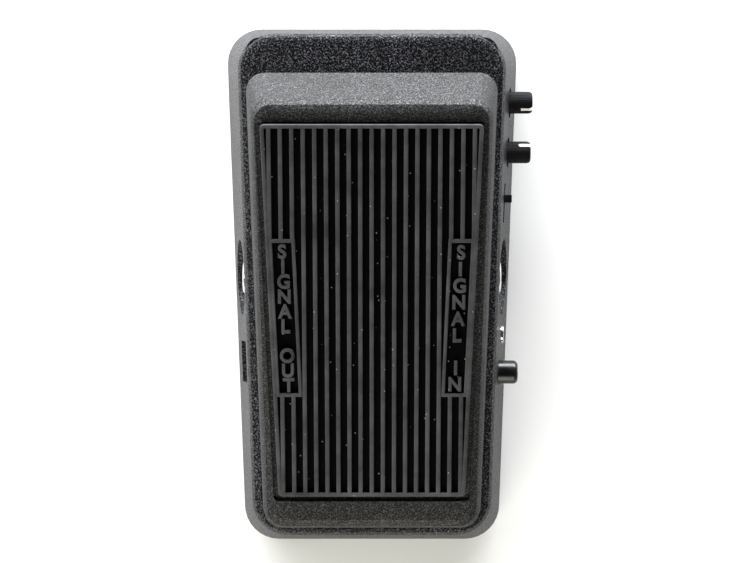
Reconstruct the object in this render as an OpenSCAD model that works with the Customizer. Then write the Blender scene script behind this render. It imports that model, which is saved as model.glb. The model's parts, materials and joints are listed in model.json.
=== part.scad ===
// Compact rocker (treadle) effects pedal, built as its real pieces.
// Frame: X to the player's right, Y from heel to toe, Z up.
// The origin is the middle of the base plate's underside, so the rubber feet reach below zero.
// Everything on the treadle is drawn in the treadle's own frame, whose origin is the axle,
// and then tilted to the heel-down position it rests in.

/* [Housing] */
// Length of the housing along its foot
body_length = 152.2; // [140:0.2:190]
// Width of the housing along its foot, halfway along
body_width = 81.1; // [76:0.1:100]
// Half-width gained for each millimetre towards the toe
body_taper = 0.039; // [0.01:0.001:0.05]
// Height of the housing's top, halfway along
body_height = 32; // [31:0.5:40]
// Rise of the top for each millimetre towards the toe
top_slope = 0.0548; // [0.02:0.0001:0.06]
// Inward lean of the walls for each millimetre of height
wall_draft = 0.14; // [0.08:0.01:0.16]
// Thickness of the cast walls and roof
wall = 2.5; // [2:0.1:3.2]
// Radius of the upright corners
corner_r = 10.2; // [8:0.1:12]
// Radius of the edge round the top
top_edge_r = 2.3; // [1:0.1:3]

/* [Base plate and feet] */
// Thickness of the steel base plate
plate_t = 1.5; // [1:0.1:2]
// Width of the rim left round the base plate
plate_lip = 1.3; // [1:0.1:1.6]
// Height of the rubber feet below the plate
foot_h = 3; // [2:0.5:6]
// Radius of a rubber foot
foot_r = 6; // [5:0.5:7]
// Depth of the round seat pressed into the plate for each foot
foot_seat = 0.5; // [0.3:0.1:0.8]
// Radius of the base screws
base_screw_r = 1.5; // [1.25:0.25:2]

/* [Treadle] */
// How far the treadle tilts up at the toe when the heel is down, in degrees
rest_tilt = 15; // [14:0.5:18]
// Travel from heel down to toe down, in degrees
sweep = 12.5; // [10:0.5:13]
// Height of the axle above the housing's top
axle_rise = 8; // [7.5:0.1:10]
// Ledge of housing left beside the treadle, halfway along
side_ledge = 7.25; // [6:0.05:9]
// Ledge of housing left in front of the treadle
toe_ledge = 16.35; // [14:0.05:20]
// Ledge of housing left behind the treadle
heel_ledge = 7.25; // [6:0.05:10]
// Gap between the skirt's toe rim and the roof with the toe down
toe_rim_gap = 2.228; // [1.5:0.001:4]
// Gap between the skirt's heel rim and the roof with the heel down
heel_rim_gap = 1.764; // [1.5:0.001:4]
// Half-width of the treadle gained for each millimetre towards the toe
tread_taper = 0.0331; // [0.01:0.0001:0.04]
// Height of the treadle's top over the axle
tread_top = 17.7; // [17:0.1:20]
// Thickness of the treadle's top and skirt
tread_wall = 2.4; // [2:0.1:3]
// Inward lean of the skirt's sides for each millimetre of height
skirt_draft = 0.1; // [0.05:0.01:0.12]
// Inward lean of the skirt's toe and heel ends for each millimetre of height
end_draft = 0.183; // [0.1:0.001:0.2]
// Radius of the skirt's upright corners
skirt_corner_r = 4.2; // [3.5:0.1:6]

/* [Rubber pad] */
// Length of the rubber pad along the treadle
pad_length = 106.6; // [90:0.1:110]
// Half-width of the pad over the axle
pad_half = 28.49; // [24:0.01:29]
// Half-width of the pad gained for each millimetre towards the toe
pad_taper = 0.03845; // [0.01:0.0001:0.04]
// Whole thickness of the pad, ribs included
pad_t = 2.5; // [2:0.1:3]
// Thickness of the pad's sheet under the ribs
pad_web = 1.2; // [1:0.1:1.5]
// Distance from one rib to the next
rib_pitch = 3.11; // [2.5:0.01:4]
// Width of a rib
rib_w = 1.2; // [0.8:0.1:1.6]
// Width of the raised border round the ribs
border_w = 1.1; // [0.8:0.1:1.5]

/* [Axle] */
// Radius of the axle
axle_r = 2.5; // [2:0.1:3]
// Running clearance round a turning shaft
run_clear = 0.05; // [0.02:0.01:0.1]
// Clearance round a fixed shaft, screw or pressed piece
set_clear = 0.03; // [0.02:0.01:0.08]
// Gap between pieces that pass each other
pass_gap = 0.3; // [0.2:0.05:0.5]
// Thickness of the two ears on the housing
ear_w = 6; // [4:0.5:8]
// Thickness of the two lugs under the treadle
lug_w = 5; // [4:0.5:6]

/* [Rack and pinion] */
// Distance from the axle to the pin that drives the rack
rack_arm = 30; // [28:0.5:32]
// Size of the gear teeth
gear_module = 0.8; // [0.7:0.05:0.85]
// Teeth on the pinion
pinion_teeth = 12; // [12:1:13]
// Pressure angle of the teeth, in degrees
pressure_angle = 25; // [20:1:25]
// Play between meshing teeth
backlash = 0.16; // [0.1:0.02:0.24]
// Width of the rack across the pedal
rack_w = 6; // [5:0.5:7]
// Depth of the rack behind its teeth
rack_d = 5; // [4:0.5:6]
// Width of the pinion
pinion_w = 5; // [4:0.5:5]
// Radius of the pin in the rack's eye
rack_pin_r = 1.5; // [1.2:0.1:2]
// Radius of the sweep potentiometer
sweep_pot_r = 8; // [7:0.5:8.5]

/* [Circuit board] */
// Height of the board's underside over the base plate's underside
board_z = 7; // [5:0.5:7.5]
// Thickness of the board
board_t = 1.6; // [1:0.2:2]
// Distance from the middle to each end of the board
board_reach = 58; // [52:0.5:58]

/* [Controls] */
// Height of the two knobs and the button
control_z = 16.3; // [15.5:0.1:17.5]
// Place of the volume knob towards the toe
volume_y = 53; // [51:0.5:54]
// Place of the resonance knob towards the toe
q_y = 38.5; // [36:0.5:40]
// Radius of the knobs
knob_r = 3.2; // [2.8:0.1:3.6]
// How far the knobs stand out of the wall
knob_reach = 6.5; // [5:0.1:9]
// Radius of the holes that the knobs come through
knob_hole_r = 4.5; // [4:0.1:5]
// Place of the range switch towards the toe
range_y = 23.5; // [22:0.5:25]
// Height of the range switch
range_z = 22; // [20:0.5:23]
// Distance between two positions of the range switch
range_step = 2.5; // [2:0.1:2.5]
// Place of the boost button, negative towards the heel
boost_y = -25.7; // [-28:0.1:-25]
// Radius of the boost button
boost_r = 3.4; // [3:0.1:4]
// Travel of the boost button
boost_travel = 2; // [1:0.1:2.5]
// Place of the indicator light, negative towards the heel
led_y = -14.7; // [-16:0.1:-14.5]
// Height of the indicator light
led_z = 13; // [12.5:0.1:14]

/* [Sockets] */
// Place of the input jack towards the toe
input_y = 2.1; // [0:0.1:3]
// Place of the output jack towards the toe
output_y = 2; // [0:0.1:3]
// Height of the two jacks
jack_z = 17.4; // [17:0.1:18.5]
// Bore of the jacks, for a quarter-inch plug
jack_bore_r = 3.2; // [3.18:0.01:3.3]
// Radius of the holes in the walls round the jacks
jack_hole_r = 11; // [9:0.5:11]
// Place of the power socket, negative towards the heel
power_y = -22.6; // [-26:0.1:-20]
// Height of the power socket
power_z = 16.5; // [16:0.1:18]
// Radius of the power socket's barrel
power_bore_r = 3.15; // [2.9:0.05:3.4]
// Radius of the power socket's centre pin
power_pin_r = 1.05; // [1:0.05:1.25]

/* [Footswitch] */
// Place of the footswitch towards the toe
switch_y = 46.5; // [46:0.1:47]
// Radius of the footswitch's threaded bushing
switch_bushing_r = 6; // [5.5:0.1:6.5]
// Radius of the plunger
plunger_r = 4.2; // [3.5:0.1:4.4]
// Travel of the plunger
plunger_travel = 2.5; // [1.5:0.1:3]

/* [Hidden] */

$fn = 64;
eps = 0.01;
over = 1;
hull_fn = 32;

// Heights and widths of the housing
function side_x(y, z) = body_width / 2 + body_taper * y - wall_draft * z;
function wall_inner(y, z) = side_x(y, z) - wall;
function body_top(y) = body_height + top_slope * y;
function roof_under(y) = body_top(y) - wall;
half_length = body_length / 2;
board_top = board_z + board_t;

// The treadle's frame: v runs along it towards the toe, w stands square to its top
axle_z = body_height + axle_rise;
function tread_y(v, w, tilt) = v * cos(tilt) - w * sin(tilt);
toe_tilt = rest_tilt - sweep;
tread_half = body_width / 2 - side_ledge;
skirt_toe = half_length - toe_ledge;
skirt_heel = -(half_length - heel_ledge);
// Rim height, in the treadle's frame, that clears the roof by a gap at a tilt
function rim_w(v, tilt, gap) =
  (gap - axle_rise + v * (top_slope * cos(tilt) - sin(tilt))) / (cos(tilt) + top_slope * sin(tilt));
skirt_toe_w = rim_w(skirt_toe, toe_tilt, toe_rim_gap);
skirt_heel_w = rim_w(skirt_heel, rest_tilt, heel_rim_gap);
skirt_rise = (skirt_toe_w - skirt_heel_w) / (skirt_toe - skirt_heel);
function skirt_w(v) = skirt_heel_w + skirt_rise * (v - skirt_heel);
function skirt_half(v, w) = tread_half + tread_taper * v - skirt_draft * (w - skirt_w(v));
tread_edge_r = 2.8;
tread_under = tread_top - tread_wall;

// The pad lies in a recess a little larger than itself
pad_sink = 1;
pad_under = tread_top - pad_sink;
pad_top = pad_under + pad_t;
pad_toe = 49.8;
pad_heel = pad_toe - pad_length;
recess_side = 1.4;
recess_heel = 1.9;
recess_toe = 0.5;
pad_corner_r = 1;
rib_count = 2 * floor((pad_half + pad_taper * pad_toe - border_w) / rib_pitch) + 1;
panel_toe = 17.8;
panel_length = 45.2;
panel_w = 7;
panel_bar = 1;

// The axle, the ears that hold it and the lugs that swing on it
lug_inset = 5.6;
lug_outer = tread_half - lug_inset;
lug_inner = lug_outer - lug_w;
bush_flange = 1.2;
ear_outer = lug_inner - bush_flange - pass_gap;
ear_inner = ear_outer - ear_w;
ear_r = 5;
bush_wall = 1;
bush_r = axle_r + run_clear + bush_wall;
bush_flange_r = bush_r + 1.2;
lug_r = 5.4;
clip_t = 0.8;
clip_depth = 0.5;
clip_r = axle_r + 1.9;
clip_gap = 0.4;
clip_x = lug_outer + clip_gap;
axle_half = clip_x + clip_t + 0.9;

// The rack stands upright under the arm's pin, and the pinion meshes with its heel side
half_sweep = sweep / 2;
rack_y = rack_arm * (1 + cos(half_sweep)) / 2;
rack_eye_z = axle_z + rack_arm * sin(half_sweep);
arm_angle = half_sweep - rest_tilt;
arm_v = rack_arm * cos(arm_angle);
arm_w = rack_arm * sin(arm_angle);
tooth_root = 1.25 * gear_module;
pitch_r = gear_module * pinion_teeth / 2;
tooth_pitch = PI * gear_module;
rack_face_y = rack_y - rack_d / 2;
pitch_line_y = rack_face_y - tooth_root;
pinion_y = pitch_line_y - pitch_r;
pinion_z = roof_under(pinion_y) - sweep_pot_r - 1.2;
rack_travel = 2 * rack_arm * sin(half_sweep);
rack_foot_z = pinion_z - 4;
rack_teeth_top = pinion_z + rack_travel + 4;
eye_r = 3.2;
eye_clear = 0.3;
cheek_t = 1.5;
bracket_boss_h = 2.5;
bracket_boss_x = 9;
bracket_boss_r = 3;
arm_screw_r = 1.25;
arm_head_r = 2.3;
arm_head_t = 1.3;
slot_half_x = 6.6;
cheek_half = 3.4;
slot_toe = rack_y + cheek_half + 1.2;
slot_heel = rack_y - cheek_half - 2;
pinion_bore_r = 2.5;

// Sweep potentiometer and its bracket, stacked away from the pinion towards the left
nut_gap = 2.3;
pot_nut_t = 2;
bracket_t = 1.2;
bracket_x = -(pinion_w / 2 + nut_gap + pot_nut_t);
pot_front_x = bracket_x - bracket_t;
pot_depth = 11;
pot_bushing_r = 3.5;
bracket_pad_z = roof_under(pinion_y) - 0.9;
bracket_half = 8.4;
bracket_flange_w = 7.8;
bracket_flange_x = 5.6;
bracket_screw_r = 1.25;
bracket_screw_length = 3.4;
bracket_head_r = 2.3;
bracket_head_t = 1.3;
bracket_screws_x = [-3.2, 2.6];
bracket_screw_y = pinion_y - bracket_half + bracket_flange_w / 2;
pot_shaft_in = 7;

// Guide behind the rack
guide_clear = 0.15;
guide_wall = 1.6;
guide_back_y = rack_y + rack_d / 2 + guide_clear;
guide_t = 2;
guide_top = roof_under(rack_y) - 1;
guide_foot = pinion_z - 5;
guide_block_d = 4;
guide_screw_r = 1;
guide_screw_length = 5;
guide_head_r = 1.8;
guide_head_t = 1.1;
guide_half = rack_w / 2 + guide_clear + guide_wall;
guide_screw_z = [guide_foot + 4.5, guide_foot + 9.5];

// Footswitch under the treadle's toe
switch_body_half = 7.7;
switch_body_top = roof_under(switch_y - switch_body_half) - 0.3;
switch_body_h = 14;
switch_seat_z = body_top(switch_y) + 0.6;
switch_seat_r = 10.5;
washer_t = 0.8;
washer_r = 9;
nut_t = 2.5;
nut_r = 8.1;
bushing_top = switch_seat_z + washer_t + nut_t + 2.2;
plunger_top = bushing_top + 5.5;
plunger_foot = switch_body_top - 4;
terminal_h = 3;
terminal_pitch = 4.7;
toe_pad_r = 7;
toe_pad_t = 3;
toe_pad_gap = 0.2;
toe_pad_v = switch_y - plunger_r - 1;
toe_pad_w = (plunger_top + toe_pad_gap - axle_z - toe_pad_v * sin(toe_tilt)) / cos(toe_tilt);

// Heel bumpers: rubber domes on the housing that the treadle's heel bosses rest on
bumper_r = 4;
bumper_x = 18;
bumper_gap = 0.15;
heel_boss_v = skirt_heel + 9;
heel_boss_r = 5;
bumper_seat_z = body_top(tread_y(heel_boss_v, 0, rest_tilt)) + 0.4;
bumper_z = bumper_seat_z + 0.2;
heel_boss_w = (bumper_z - axle_z - heel_boss_v * sin(rest_tilt)) / cos(rest_tilt)
  + bumper_r + bumper_gap;
bumper_y = tread_y(heel_boss_v, heel_boss_w - bumper_r - bumper_gap, rest_tilt);

// Corner posts take the base screws; shorter posts take the board's screws
post_end = 9.6;
post_side = 11;
post_r = 3.8;
screw_head_r = 2.8;
screw_head_t = 1.6;
foot_bore_r = 3.4;
foot_fit = 0.3;
plate_fit = 0.1;
foot_floor = 1;
base_screw_length = 10;
board_screw_r = 1.25;
board_post_r = 3;
board_post_y = board_reach - 4;
board_post_x = 20;
board_edge_gap = 1.5;
board_screw_length = 6;
board_head_r = 2.4;
board_head_t = 1.4;
function post_x(y) = side_x(y, 0) - post_side;
post_ends = [half_length - post_end, -(half_length - post_end)];
board_post_ends = [board_post_y, -board_post_y];

// Small controls
pot_body_w = 9.6;
pot_body_d = 6.8;
pot_body_over = 5.2;
pot_gap = 1.2;
knob_shaft_r = 2;
knob_shaft_in = 5;
pointer_length = 3.4;
pointer_w = 0.8;
pointer_t = 0.6;
volume_angle = 43;
q_angle = -38;
range_rest = range_y + range_step / 2;
range_slot_w = 3 * range_step + 3.9;
range_slot_h = 3;
range_handle_w = 2.3;
range_handle_h = 2.2;
range_reach = 2.1;
range_body_half = 8.2;
range_body_h = 3.6;
range_body_d = 5.6;
range_cavity_half = 7;
range_wiper_half = 2.6;
range_wiper_t = 1.8;
boost_reach = 5.25;
boost_clear = 0.3;
boost_body_d = 8;
boost_body_half = 5.5;
boost_body_over = 5.2;
boost_stem_r = 1.8;
light_r = 1.5;
bezel_r = 2.65;
bezel_body_r = 2.2;
bezel_sink = 0.5;
bezel_depth = 3.5;

// Jacks and power socket
jack_body_half = 8.4;
jack_body_d = 23;
jack_body_over = 9;
jack_sleeve_r = 4.9;
jack_nut_r = 6.3;
jack_nut_t = 2;
jack_sleeve_in = 6;
jack_recess = 0.6;
jack_plug_depth = 20;
power_body_half = 5;
power_body_over = 6;
power_body_d = 14;
power_slot_w = 12;
power_slot_h = 14;
power_depth = 10.5;
power_nose_half = 5.5;
power_root = 2;
power_root_r = power_pin_r + 0.3;

cast_black = [0.11, 0.11, 0.115];
rubber_black = [0.06, 0.06, 0.065];
plastic_black = [0.09, 0.09, 0.1];
steel_grey = [0.68, 0.69, 0.71];
nickel = [0.8, 0.8, 0.8];
board_green = [0.08, 0.3, 0.16];
nylon_white = [0.9, 0.89, 0.85];

// ---- Helpers ----

// Draws what follows in the treadle's frame, at its heel-down tilt
module on_treadle() {
  translate([0, 0, axle_z])
    rotate([rest_tilt, 0, 0])
      children();
}

// A round bar along X from x to x + length
module bar_x(x, y, z, r, length) {
  translate([x, y, z])
    rotate([0, 90, 0])
      cylinder(r = r, h = length);
}

// A profile drawn in Y and Z, extruded along X from x
module profile_x(x, length) {
  translate([x, 0, 0])
    rotate([90, 0, 90])
      linear_extrude(length)
        children();
}

// A box between two corners
module box(low, high) {
  translate(low)
    cube(high - low);
}

// Where the corner circle of a tapered plan has its centre
function corner_x(half, taper, y, r) = half + taper * y - r * sqrt(1 + taper * taper);

// A flat slab whose plan narrows towards the heel and has round corners
module tapered_slab(heel, toe, half, taper, r, h) {
  lean = atan(taper);
  xt = corner_x(half, taper, toe - r, r);
  xh = corner_x(half, taper, heel + r, r);
  side = r * cos(lean);
  back = r * sin(lean);
  linear_extrude(h)
    polygon([
      [xt, toe], [xt + side, toe - r - back], [xh + side, heel + r - back], [xh, heel],
      [-xh, heel], [-xh - side, heel + r - back], [-xt - side, toe - r - back], [-xt, toe]
    ]);
  for (s = [-1, 1]) {
    translate([s * xt, toe - r, 0])
      cylinder(r = r, h = h);
    translate([s * xh, heel + r, 0])
      cylinder(r = r, h = h);
  }
}

// One thin disc of the housing's corner
module corner_disc(s, y, z, inset, r, tilt) {
  x = side_x(y, z) - inset - r;
  translate([s * x, y, z])
    rotate([tilt, 0, 0])
      cylinder(r = r, h = eps, $fn = hull_fn);
}

// The same, leant with the top and a drop below it, pulled in by an inset
module top_disc(s, end, drop, inset, r) {
  level_y = half_length - inset - r - wall_draft * (body_height - drop);
  y = end * level_y / (1 + end * wall_draft * top_slope);
  corner_disc(s, y, body_top(y) - drop, inset, r, atan(top_slope));
}

// The housing's block, shrunk by an inset all round and under the top, from z upwards
module housing_block(z, inset, edge) {
  r = corner_r - inset;
  hull()
    for (s = [-1, 1], end = [-1, 1]) {
      corner_disc(s, end * (half_length - wall_draft * z - inset - r), z, inset, r, 0);
      top_disc(s, end, inset + edge, inset, r);
      top_disc(s, end, inset + edge * 0.3, inset + edge * 0.3, r - edge * 0.3);
      top_disc(s, end, inset + eps, inset + edge, r - edge);
    }
}

// One thin disc of the treadle's corner, drawn in the treadle's frame
module tread_disc(s, end, w, inset, r, tilt) {
  rim = end > 0 ? skirt_toe : skirt_heel;
  v = rim - end * (end_draft * (w - skirt_w(rim)) + inset + r);
  x = skirt_half(v, w) - inset - r;
  translate([s * x, v, w])
    rotate([tilt, 0, 0])
      cylinder(r = r, h = eps, $fn = hull_fn);
}

// The treadle's block, shrunk by an inset, from below the skirt's edge up to a top
module tread_block(inset, below, top, edge) {
  r = skirt_corner_r + 1 - inset / 2;
  hull()
    for (s = [-1, 1], end = [-1, 1]) {
      rim = end > 0 ? skirt_toe : skirt_heel;
      low = skirt_w(rim - end * (inset + r)) - below;
      tread_disc(s, end, low, inset, r, atan(skirt_rise));
      tread_disc(s, end, top - edge, inset, r, 0);
      tread_disc(s, end, top - edge * 0.3, inset + edge * 0.3, r - edge * 0.15, 0);
      tread_disc(s, end, top - eps, inset + edge, r - edge * 0.5, 0);
    }
}

// ---- Housing and base ----

module ear(s) {
  x = s > 0 ? ear_inner : -ear_outer;
  bar_x(x, 0, axle_z, ear_r, ear_w);
  box([x, -ear_r, body_height - over], [x + ear_w, ear_r, axle_z]);
}

module wall_openings() {
  bar_x(wall_inner(volume_y, control_z) - over, volume_y, control_z, knob_hole_r, wall + 3 * over);
  bar_x(wall_inner(q_y, control_z) - over, q_y, control_z, knob_hole_r, wall + 3 * over);
  bar_x(wall_inner(boost_y, control_z) - over, boost_y, control_z, boost_r + boost_clear,
    wall + 3 * over);
  bar_x(wall_inner(input_y, jack_z) - 3 * over, input_y, jack_z, jack_hole_r, wall + 6 * over);
  bar_x(-side_x(output_y, jack_z) - 3 * over, output_y, jack_z, jack_hole_r, wall + 6 * over);
  bar_x(wall_inner(led_y, led_z) - over, led_y, led_z, bezel_body_r + set_clear, wall + 2 * over);
  bar_x(side_x(led_y, led_z) - bezel_sink, led_y, led_z, bezel_r + set_clear, 2 * over);
  box([wall_inner(range_y, range_z) - over, range_y - range_slot_w / 2, range_z - range_slot_h / 2],
    [side_x(range_y, range_z) + over, range_y + range_slot_w / 2, range_z + range_slot_h / 2]);
  box([-side_x(power_y, power_z) - 2 * over, power_y - power_slot_w / 2, power_z + 1 - power_slot_h / 2],
    [-wall_inner(power_y, power_z) + 2 * over, power_y + power_slot_w / 2,
      power_z + 1 + power_slot_h / 2]);
}

module housing_posts() {
  for (s = [-1, 1]) {
    for (y = post_ends)
      translate([s * post_x(y), y, plate_t])
        cylinder(r = post_r, h = body_top(y) - wall / 2 - plate_t);
    for (y = board_post_ends)
      translate([s * board_post_x, y, board_top])
        cylinder(r = board_post_r, h = body_top(y) - wall / 2 - board_top);
  }
}

module housing_post_holes() {
  for (s = [-1, 1]) {
    for (y = post_ends)
      translate([s * post_x(y), y, plate_t - over])
        cylinder(r = base_screw_r + set_clear, h = base_screw_length + over);
    for (y = board_post_ends)
      translate([s * board_post_x, y, board_top - over])
        cylinder(r = board_screw_r + set_clear, h = board_screw_length + over);
  }
}

module housing_pads() {
  // Flat pads over and under the roof for the footswitch
  translate([0, switch_y, body_top(switch_y) - wall / 2])
    cylinder(r = switch_seat_r, h = switch_seat_z - body_top(switch_y) + wall / 2);
  translate([0, switch_y, switch_body_top])
    cylinder(r = switch_seat_r, h = body_top(switch_y) - wall / 2 - switch_body_top);
  // Seats for the heel bumpers
  for (s = [-1, 1])
    translate([s * bumper_x, bumper_y, bumper_seat_z - 1.4])
      cylinder(r = bumper_r + 0.6, h = 1.4);
  // Flat pad that the potentiometer's bracket screws to
  box([pot_front_x, pinion_y - bracket_half, bracket_pad_z],
    [bracket_flange_x, pinion_y - bracket_half + bracket_flange_w, body_top(pinion_y) - wall / 2]);
  // Block that the rack's guide screws to
  box([-guide_half, guide_back_y + guide_t, guide_foot + 2],
    [guide_half, guide_back_y + guide_t + guide_block_d, body_top(rack_y) - wall / 2]);
}

module housing() {
  color(cast_black)
    difference() {
      union() {
        difference() {
          housing_block(0, 0, top_edge_r);
          housing_block(-over, wall, 0.5);
          translate([0, 0, -over])
            tapered_slab(-half_length + plate_lip, half_length - plate_lip,
              body_width / 2 - plate_lip, body_taper, corner_r - plate_lip, plate_t + over);
        }
        housing_posts();
        housing_pads();
        ear(1);
        ear(-1);
      }
      wall_openings();
      housing_post_holes();
      bar_x(-ear_outer - over, 0, axle_z, axle_r + set_clear, 2 * (ear_outer + over));
      translate([0, switch_y, switch_body_top - over])
        cylinder(r = switch_bushing_r + set_clear, h = switch_seat_z - switch_body_top + 2 * over);
      box([-slot_half_x, slot_heel, roof_under(slot_heel) - 0.2],
        [slot_half_x, slot_toe, body_top(slot_toe) + over]);
      for (x = bracket_screws_x)
        translate([x, bracket_screw_y, bracket_pad_z - over])
          cylinder(r = bracket_screw_r + set_clear, h = bracket_screw_length - bracket_t + over);
      for (z = guide_screw_z)
        translate([0, guide_back_y + guide_t - over, z])
          rotate([-90, 0, 0])
            cylinder(r = guide_screw_r + set_clear, h = guide_screw_length - guide_t + 1.5);
    }
}

module base_plate() {
  inset = plate_lip + plate_fit;
  color(steel_grey)
    difference() {
      tapered_slab(-half_length + inset, half_length - inset, body_width / 2 - inset, body_taper,
        corner_r - inset, plate_t);
      for (s = [-1, 1], y = post_ends)
        translate([s * post_x(y), y, 0]) {
          translate([0, 0, -over])
            cylinder(r = base_screw_r + set_clear, h = plate_t + 2 * over);
          translate([0, 0, -over])
            cylinder(r = foot_r + foot_fit, h = foot_seat + over);
        }
    }
}

module rubber_feet() {
  color(rubber_black)
    for (s = [-1, 1], y = post_ends)
      translate([s * post_x(y), y, -foot_h])
        difference() {
          cylinder(r = foot_r, h = foot_h + foot_seat);
          translate([0, 0, -over])
            cylinder(r = foot_bore_r, h = foot_h + foot_seat - foot_floor + over);
          cylinder(r = base_screw_r + set_clear, h = foot_h + foot_seat + over);
        }
}

module base_screws() {
  head_z = foot_seat - foot_floor;
  color(nickel)
    for (s = [-1, 1], y = post_ends)
      translate([s * post_x(y), y, head_z]) {
        cylinder(r = base_screw_r, h = base_screw_length);
        translate([0, 0, -screw_head_t])
          difference() {
            cylinder(r = screw_head_r, h = screw_head_t);
            for (turn = [0, 90])
              rotate([0, 0, turn])
                translate([-screw_head_r * 0.6, -0.35, -over])
                  cube([screw_head_r * 1.2, 0.7, over + screw_head_t / 2]);
          }
      }
}

module heel_bumpers() {
  color(rubber_black)
    for (s = [-1, 1])
      translate([s * bumper_x, bumper_y, 0]) {
        translate([0, 0, bumper_seat_z])
          cylinder(r = bumper_r, h = bumper_z - bumper_seat_z);
        intersection() {
          translate([0, 0, bumper_z])
            sphere(r = bumper_r);
          translate([0, 0, bumper_z + bumper_r / 2])
            cube([3 * bumper_r, 3 * bumper_r, bumper_r], center = true);
        }
      }
}

// ---- Axle ----

module pivot_axle() {
  color(steel_grey)
    difference() {
      bar_x(-axle_half, 0, axle_z, axle_r, 2 * axle_half);
      for (x = [clip_x, -clip_x - clip_t])
        difference() {
          bar_x(x, 0, axle_z, axle_r + over, clip_t);
          bar_x(x - over, 0, axle_z, axle_r - clip_depth, clip_t + 2 * over);
        }
    }
}

module axle_clips() {
  mouth = 2 * (axle_r - clip_depth) - 0.6;
  thin = clip_t - 2 * set_clear;
  color(nickel)
    for (x = [clip_x, -clip_x - clip_t])
      difference() {
        bar_x(x + set_clear, 0, axle_z, clip_r, thin);
        bar_x(x - over, 0, axle_z, axle_r - clip_depth + set_clear, clip_t + 2 * over);
        box([x - over, -mouth / 2, axle_z - 2 * clip_r], [x + clip_t + over, mouth / 2, axle_z]);
      }
}

module lug_bushings() {
  color(nylon_white)
    on_treadle()
      for (s = [-1, 1])
        difference() {
          union() {
            bar_x(s > 0 ? lug_inner : -lug_outer, 0, 0, bush_r, lug_w);
            bar_x(s > 0 ? lug_inner - bush_flange : -lug_inner, 0, 0, bush_flange_r, bush_flange);
          }
          bar_x(s > 0 ? lug_inner - 2 * over : -lug_outer - over, 0, 0, axle_r + run_clear,
            lug_w + 4 * over);
        }
}

// ---- Treadle ----

module treadle_lug(s) {
  x = s > 0 ? lug_inner : -lug_outer;
  bar_x(x, 0, 0, lug_r, lug_w);
  box([x, -lug_r, 0], [x + lug_w, lug_r, tread_under + over / 2]);
}

module treadle() {
  color(cast_black)
    on_treadle()
      difference() {
        union() {
          difference() {
            tread_block(0, 0, tread_top, tread_edge_r);
            tread_block(tread_wall, over, tread_under, 1);
          }
          treadle_lug(1);
          treadle_lug(-1);
          translate([0, switch_y, toe_pad_w + toe_pad_t])
            cylinder(r = toe_pad_r - 1, h = tread_under + 0.5 - toe_pad_w - toe_pad_t);
          for (s = [-1, 1]) {
            translate([s * bumper_x, heel_boss_v, heel_boss_w])
              cylinder(r = heel_boss_r, h = tread_under + 0.5 - heel_boss_w);
            translate([s * bracket_boss_x, arm_v, tread_under - bracket_boss_h])
              cylinder(r = bracket_boss_r, h = bracket_boss_h + 0.5);
          }
        }
        translate([0, 0, pad_under])
          tapered_slab(pad_heel - recess_heel, pad_toe + recess_toe, pad_half + recess_side,
            pad_taper, pad_corner_r + 0.5, pad_sink + over);
        for (s = [-1, 1]) {
          bar_x(s > 0 ? lug_inner - over : -lug_outer - over, 0, 0, bush_r + set_clear,
            lug_w + 2 * over);
          translate([s * bracket_boss_x, arm_v, tread_under - bracket_boss_h - over])
            cylinder(r = arm_screw_r + set_clear, h = bracket_boss_h + 0.6 + over);
        }
      }
}

// Where the slanted border's inner edge lies
function border_inner(v) = pad_half + pad_taper * v - border_w;

// Part of a rib between two places along the pad
module rib(x, low, high) {
  box([x - rib_w / 2, low, pad_under + pad_web], [x + rib_w / 2, high, pad_top]);
}

// Outline of one lettered panel, slanted with the pad's edge and drawn in by inset
module panel_outline(s, inset) {
  low = panel_toe - panel_length + inset;
  high = panel_toe - inset;
  polygon([
    [s * (border_inner(high) - inset), high],
    [s * (border_inner(low) - inset), low],
    [s * (border_inner(low) - panel_w + inset), low],
    [s * (border_inner(high) - panel_w + inset), high]
  ]);
}

// Raised frame around one lettered panel, which runs into the pad's border
module panel_frame(s) {
  translate([0, 0, pad_under + pad_web])
    linear_extrude(pad_t - pad_web)
      difference() {
        panel_outline(s, 0);
        panel_outline(s, panel_bar);
      }
}

module rubber_pad() {
  low = panel_toe - panel_length;
  color(rubber_black)
    on_treadle() {
      translate([0, 0, pad_under])
        tapered_slab(pad_heel, pad_toe, pad_half, pad_taper, pad_corner_r, pad_web + eps);
      translate([0, 0, pad_under + pad_web])
        difference() {
          tapered_slab(pad_heel, pad_toe, pad_half, pad_taper, pad_corner_r, pad_t - pad_web);
          translate([0, 0, -over])
            tapered_slab(pad_heel + border_w * 0.8, pad_toe - border_w, pad_half - border_w,
              pad_taper, pad_corner_r, pad_t + over);
        }
      for (k = [-floor(rib_count / 2) : floor(rib_count / 2)]) {
        x = k * rib_pitch;
        edge = abs(x) + rib_w / 2;
        start = max(pad_heel + border_w / 2, (edge + border_w - pad_half) / pad_taper);
        beside_panel = edge < border_inner(low) - panel_w + rib_w;
        if (beside_panel)
          rib(x, start, pad_toe - border_w / 2);
        else {
          if (start < low)
            rib(x, start, low + panel_bar / 2);
          rib(x, max(start, panel_toe - panel_bar / 2), pad_toe - border_w / 2);
        }
      }
      panel_frame(1);
      panel_frame(-1);
    }
}

module toe_pad() {
  color(rubber_black)
    on_treadle()
      translate([0, switch_y, toe_pad_w])
        cylinder(r = toe_pad_r, h = toe_pad_t);
}

// ---- Rack drive ----

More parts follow.
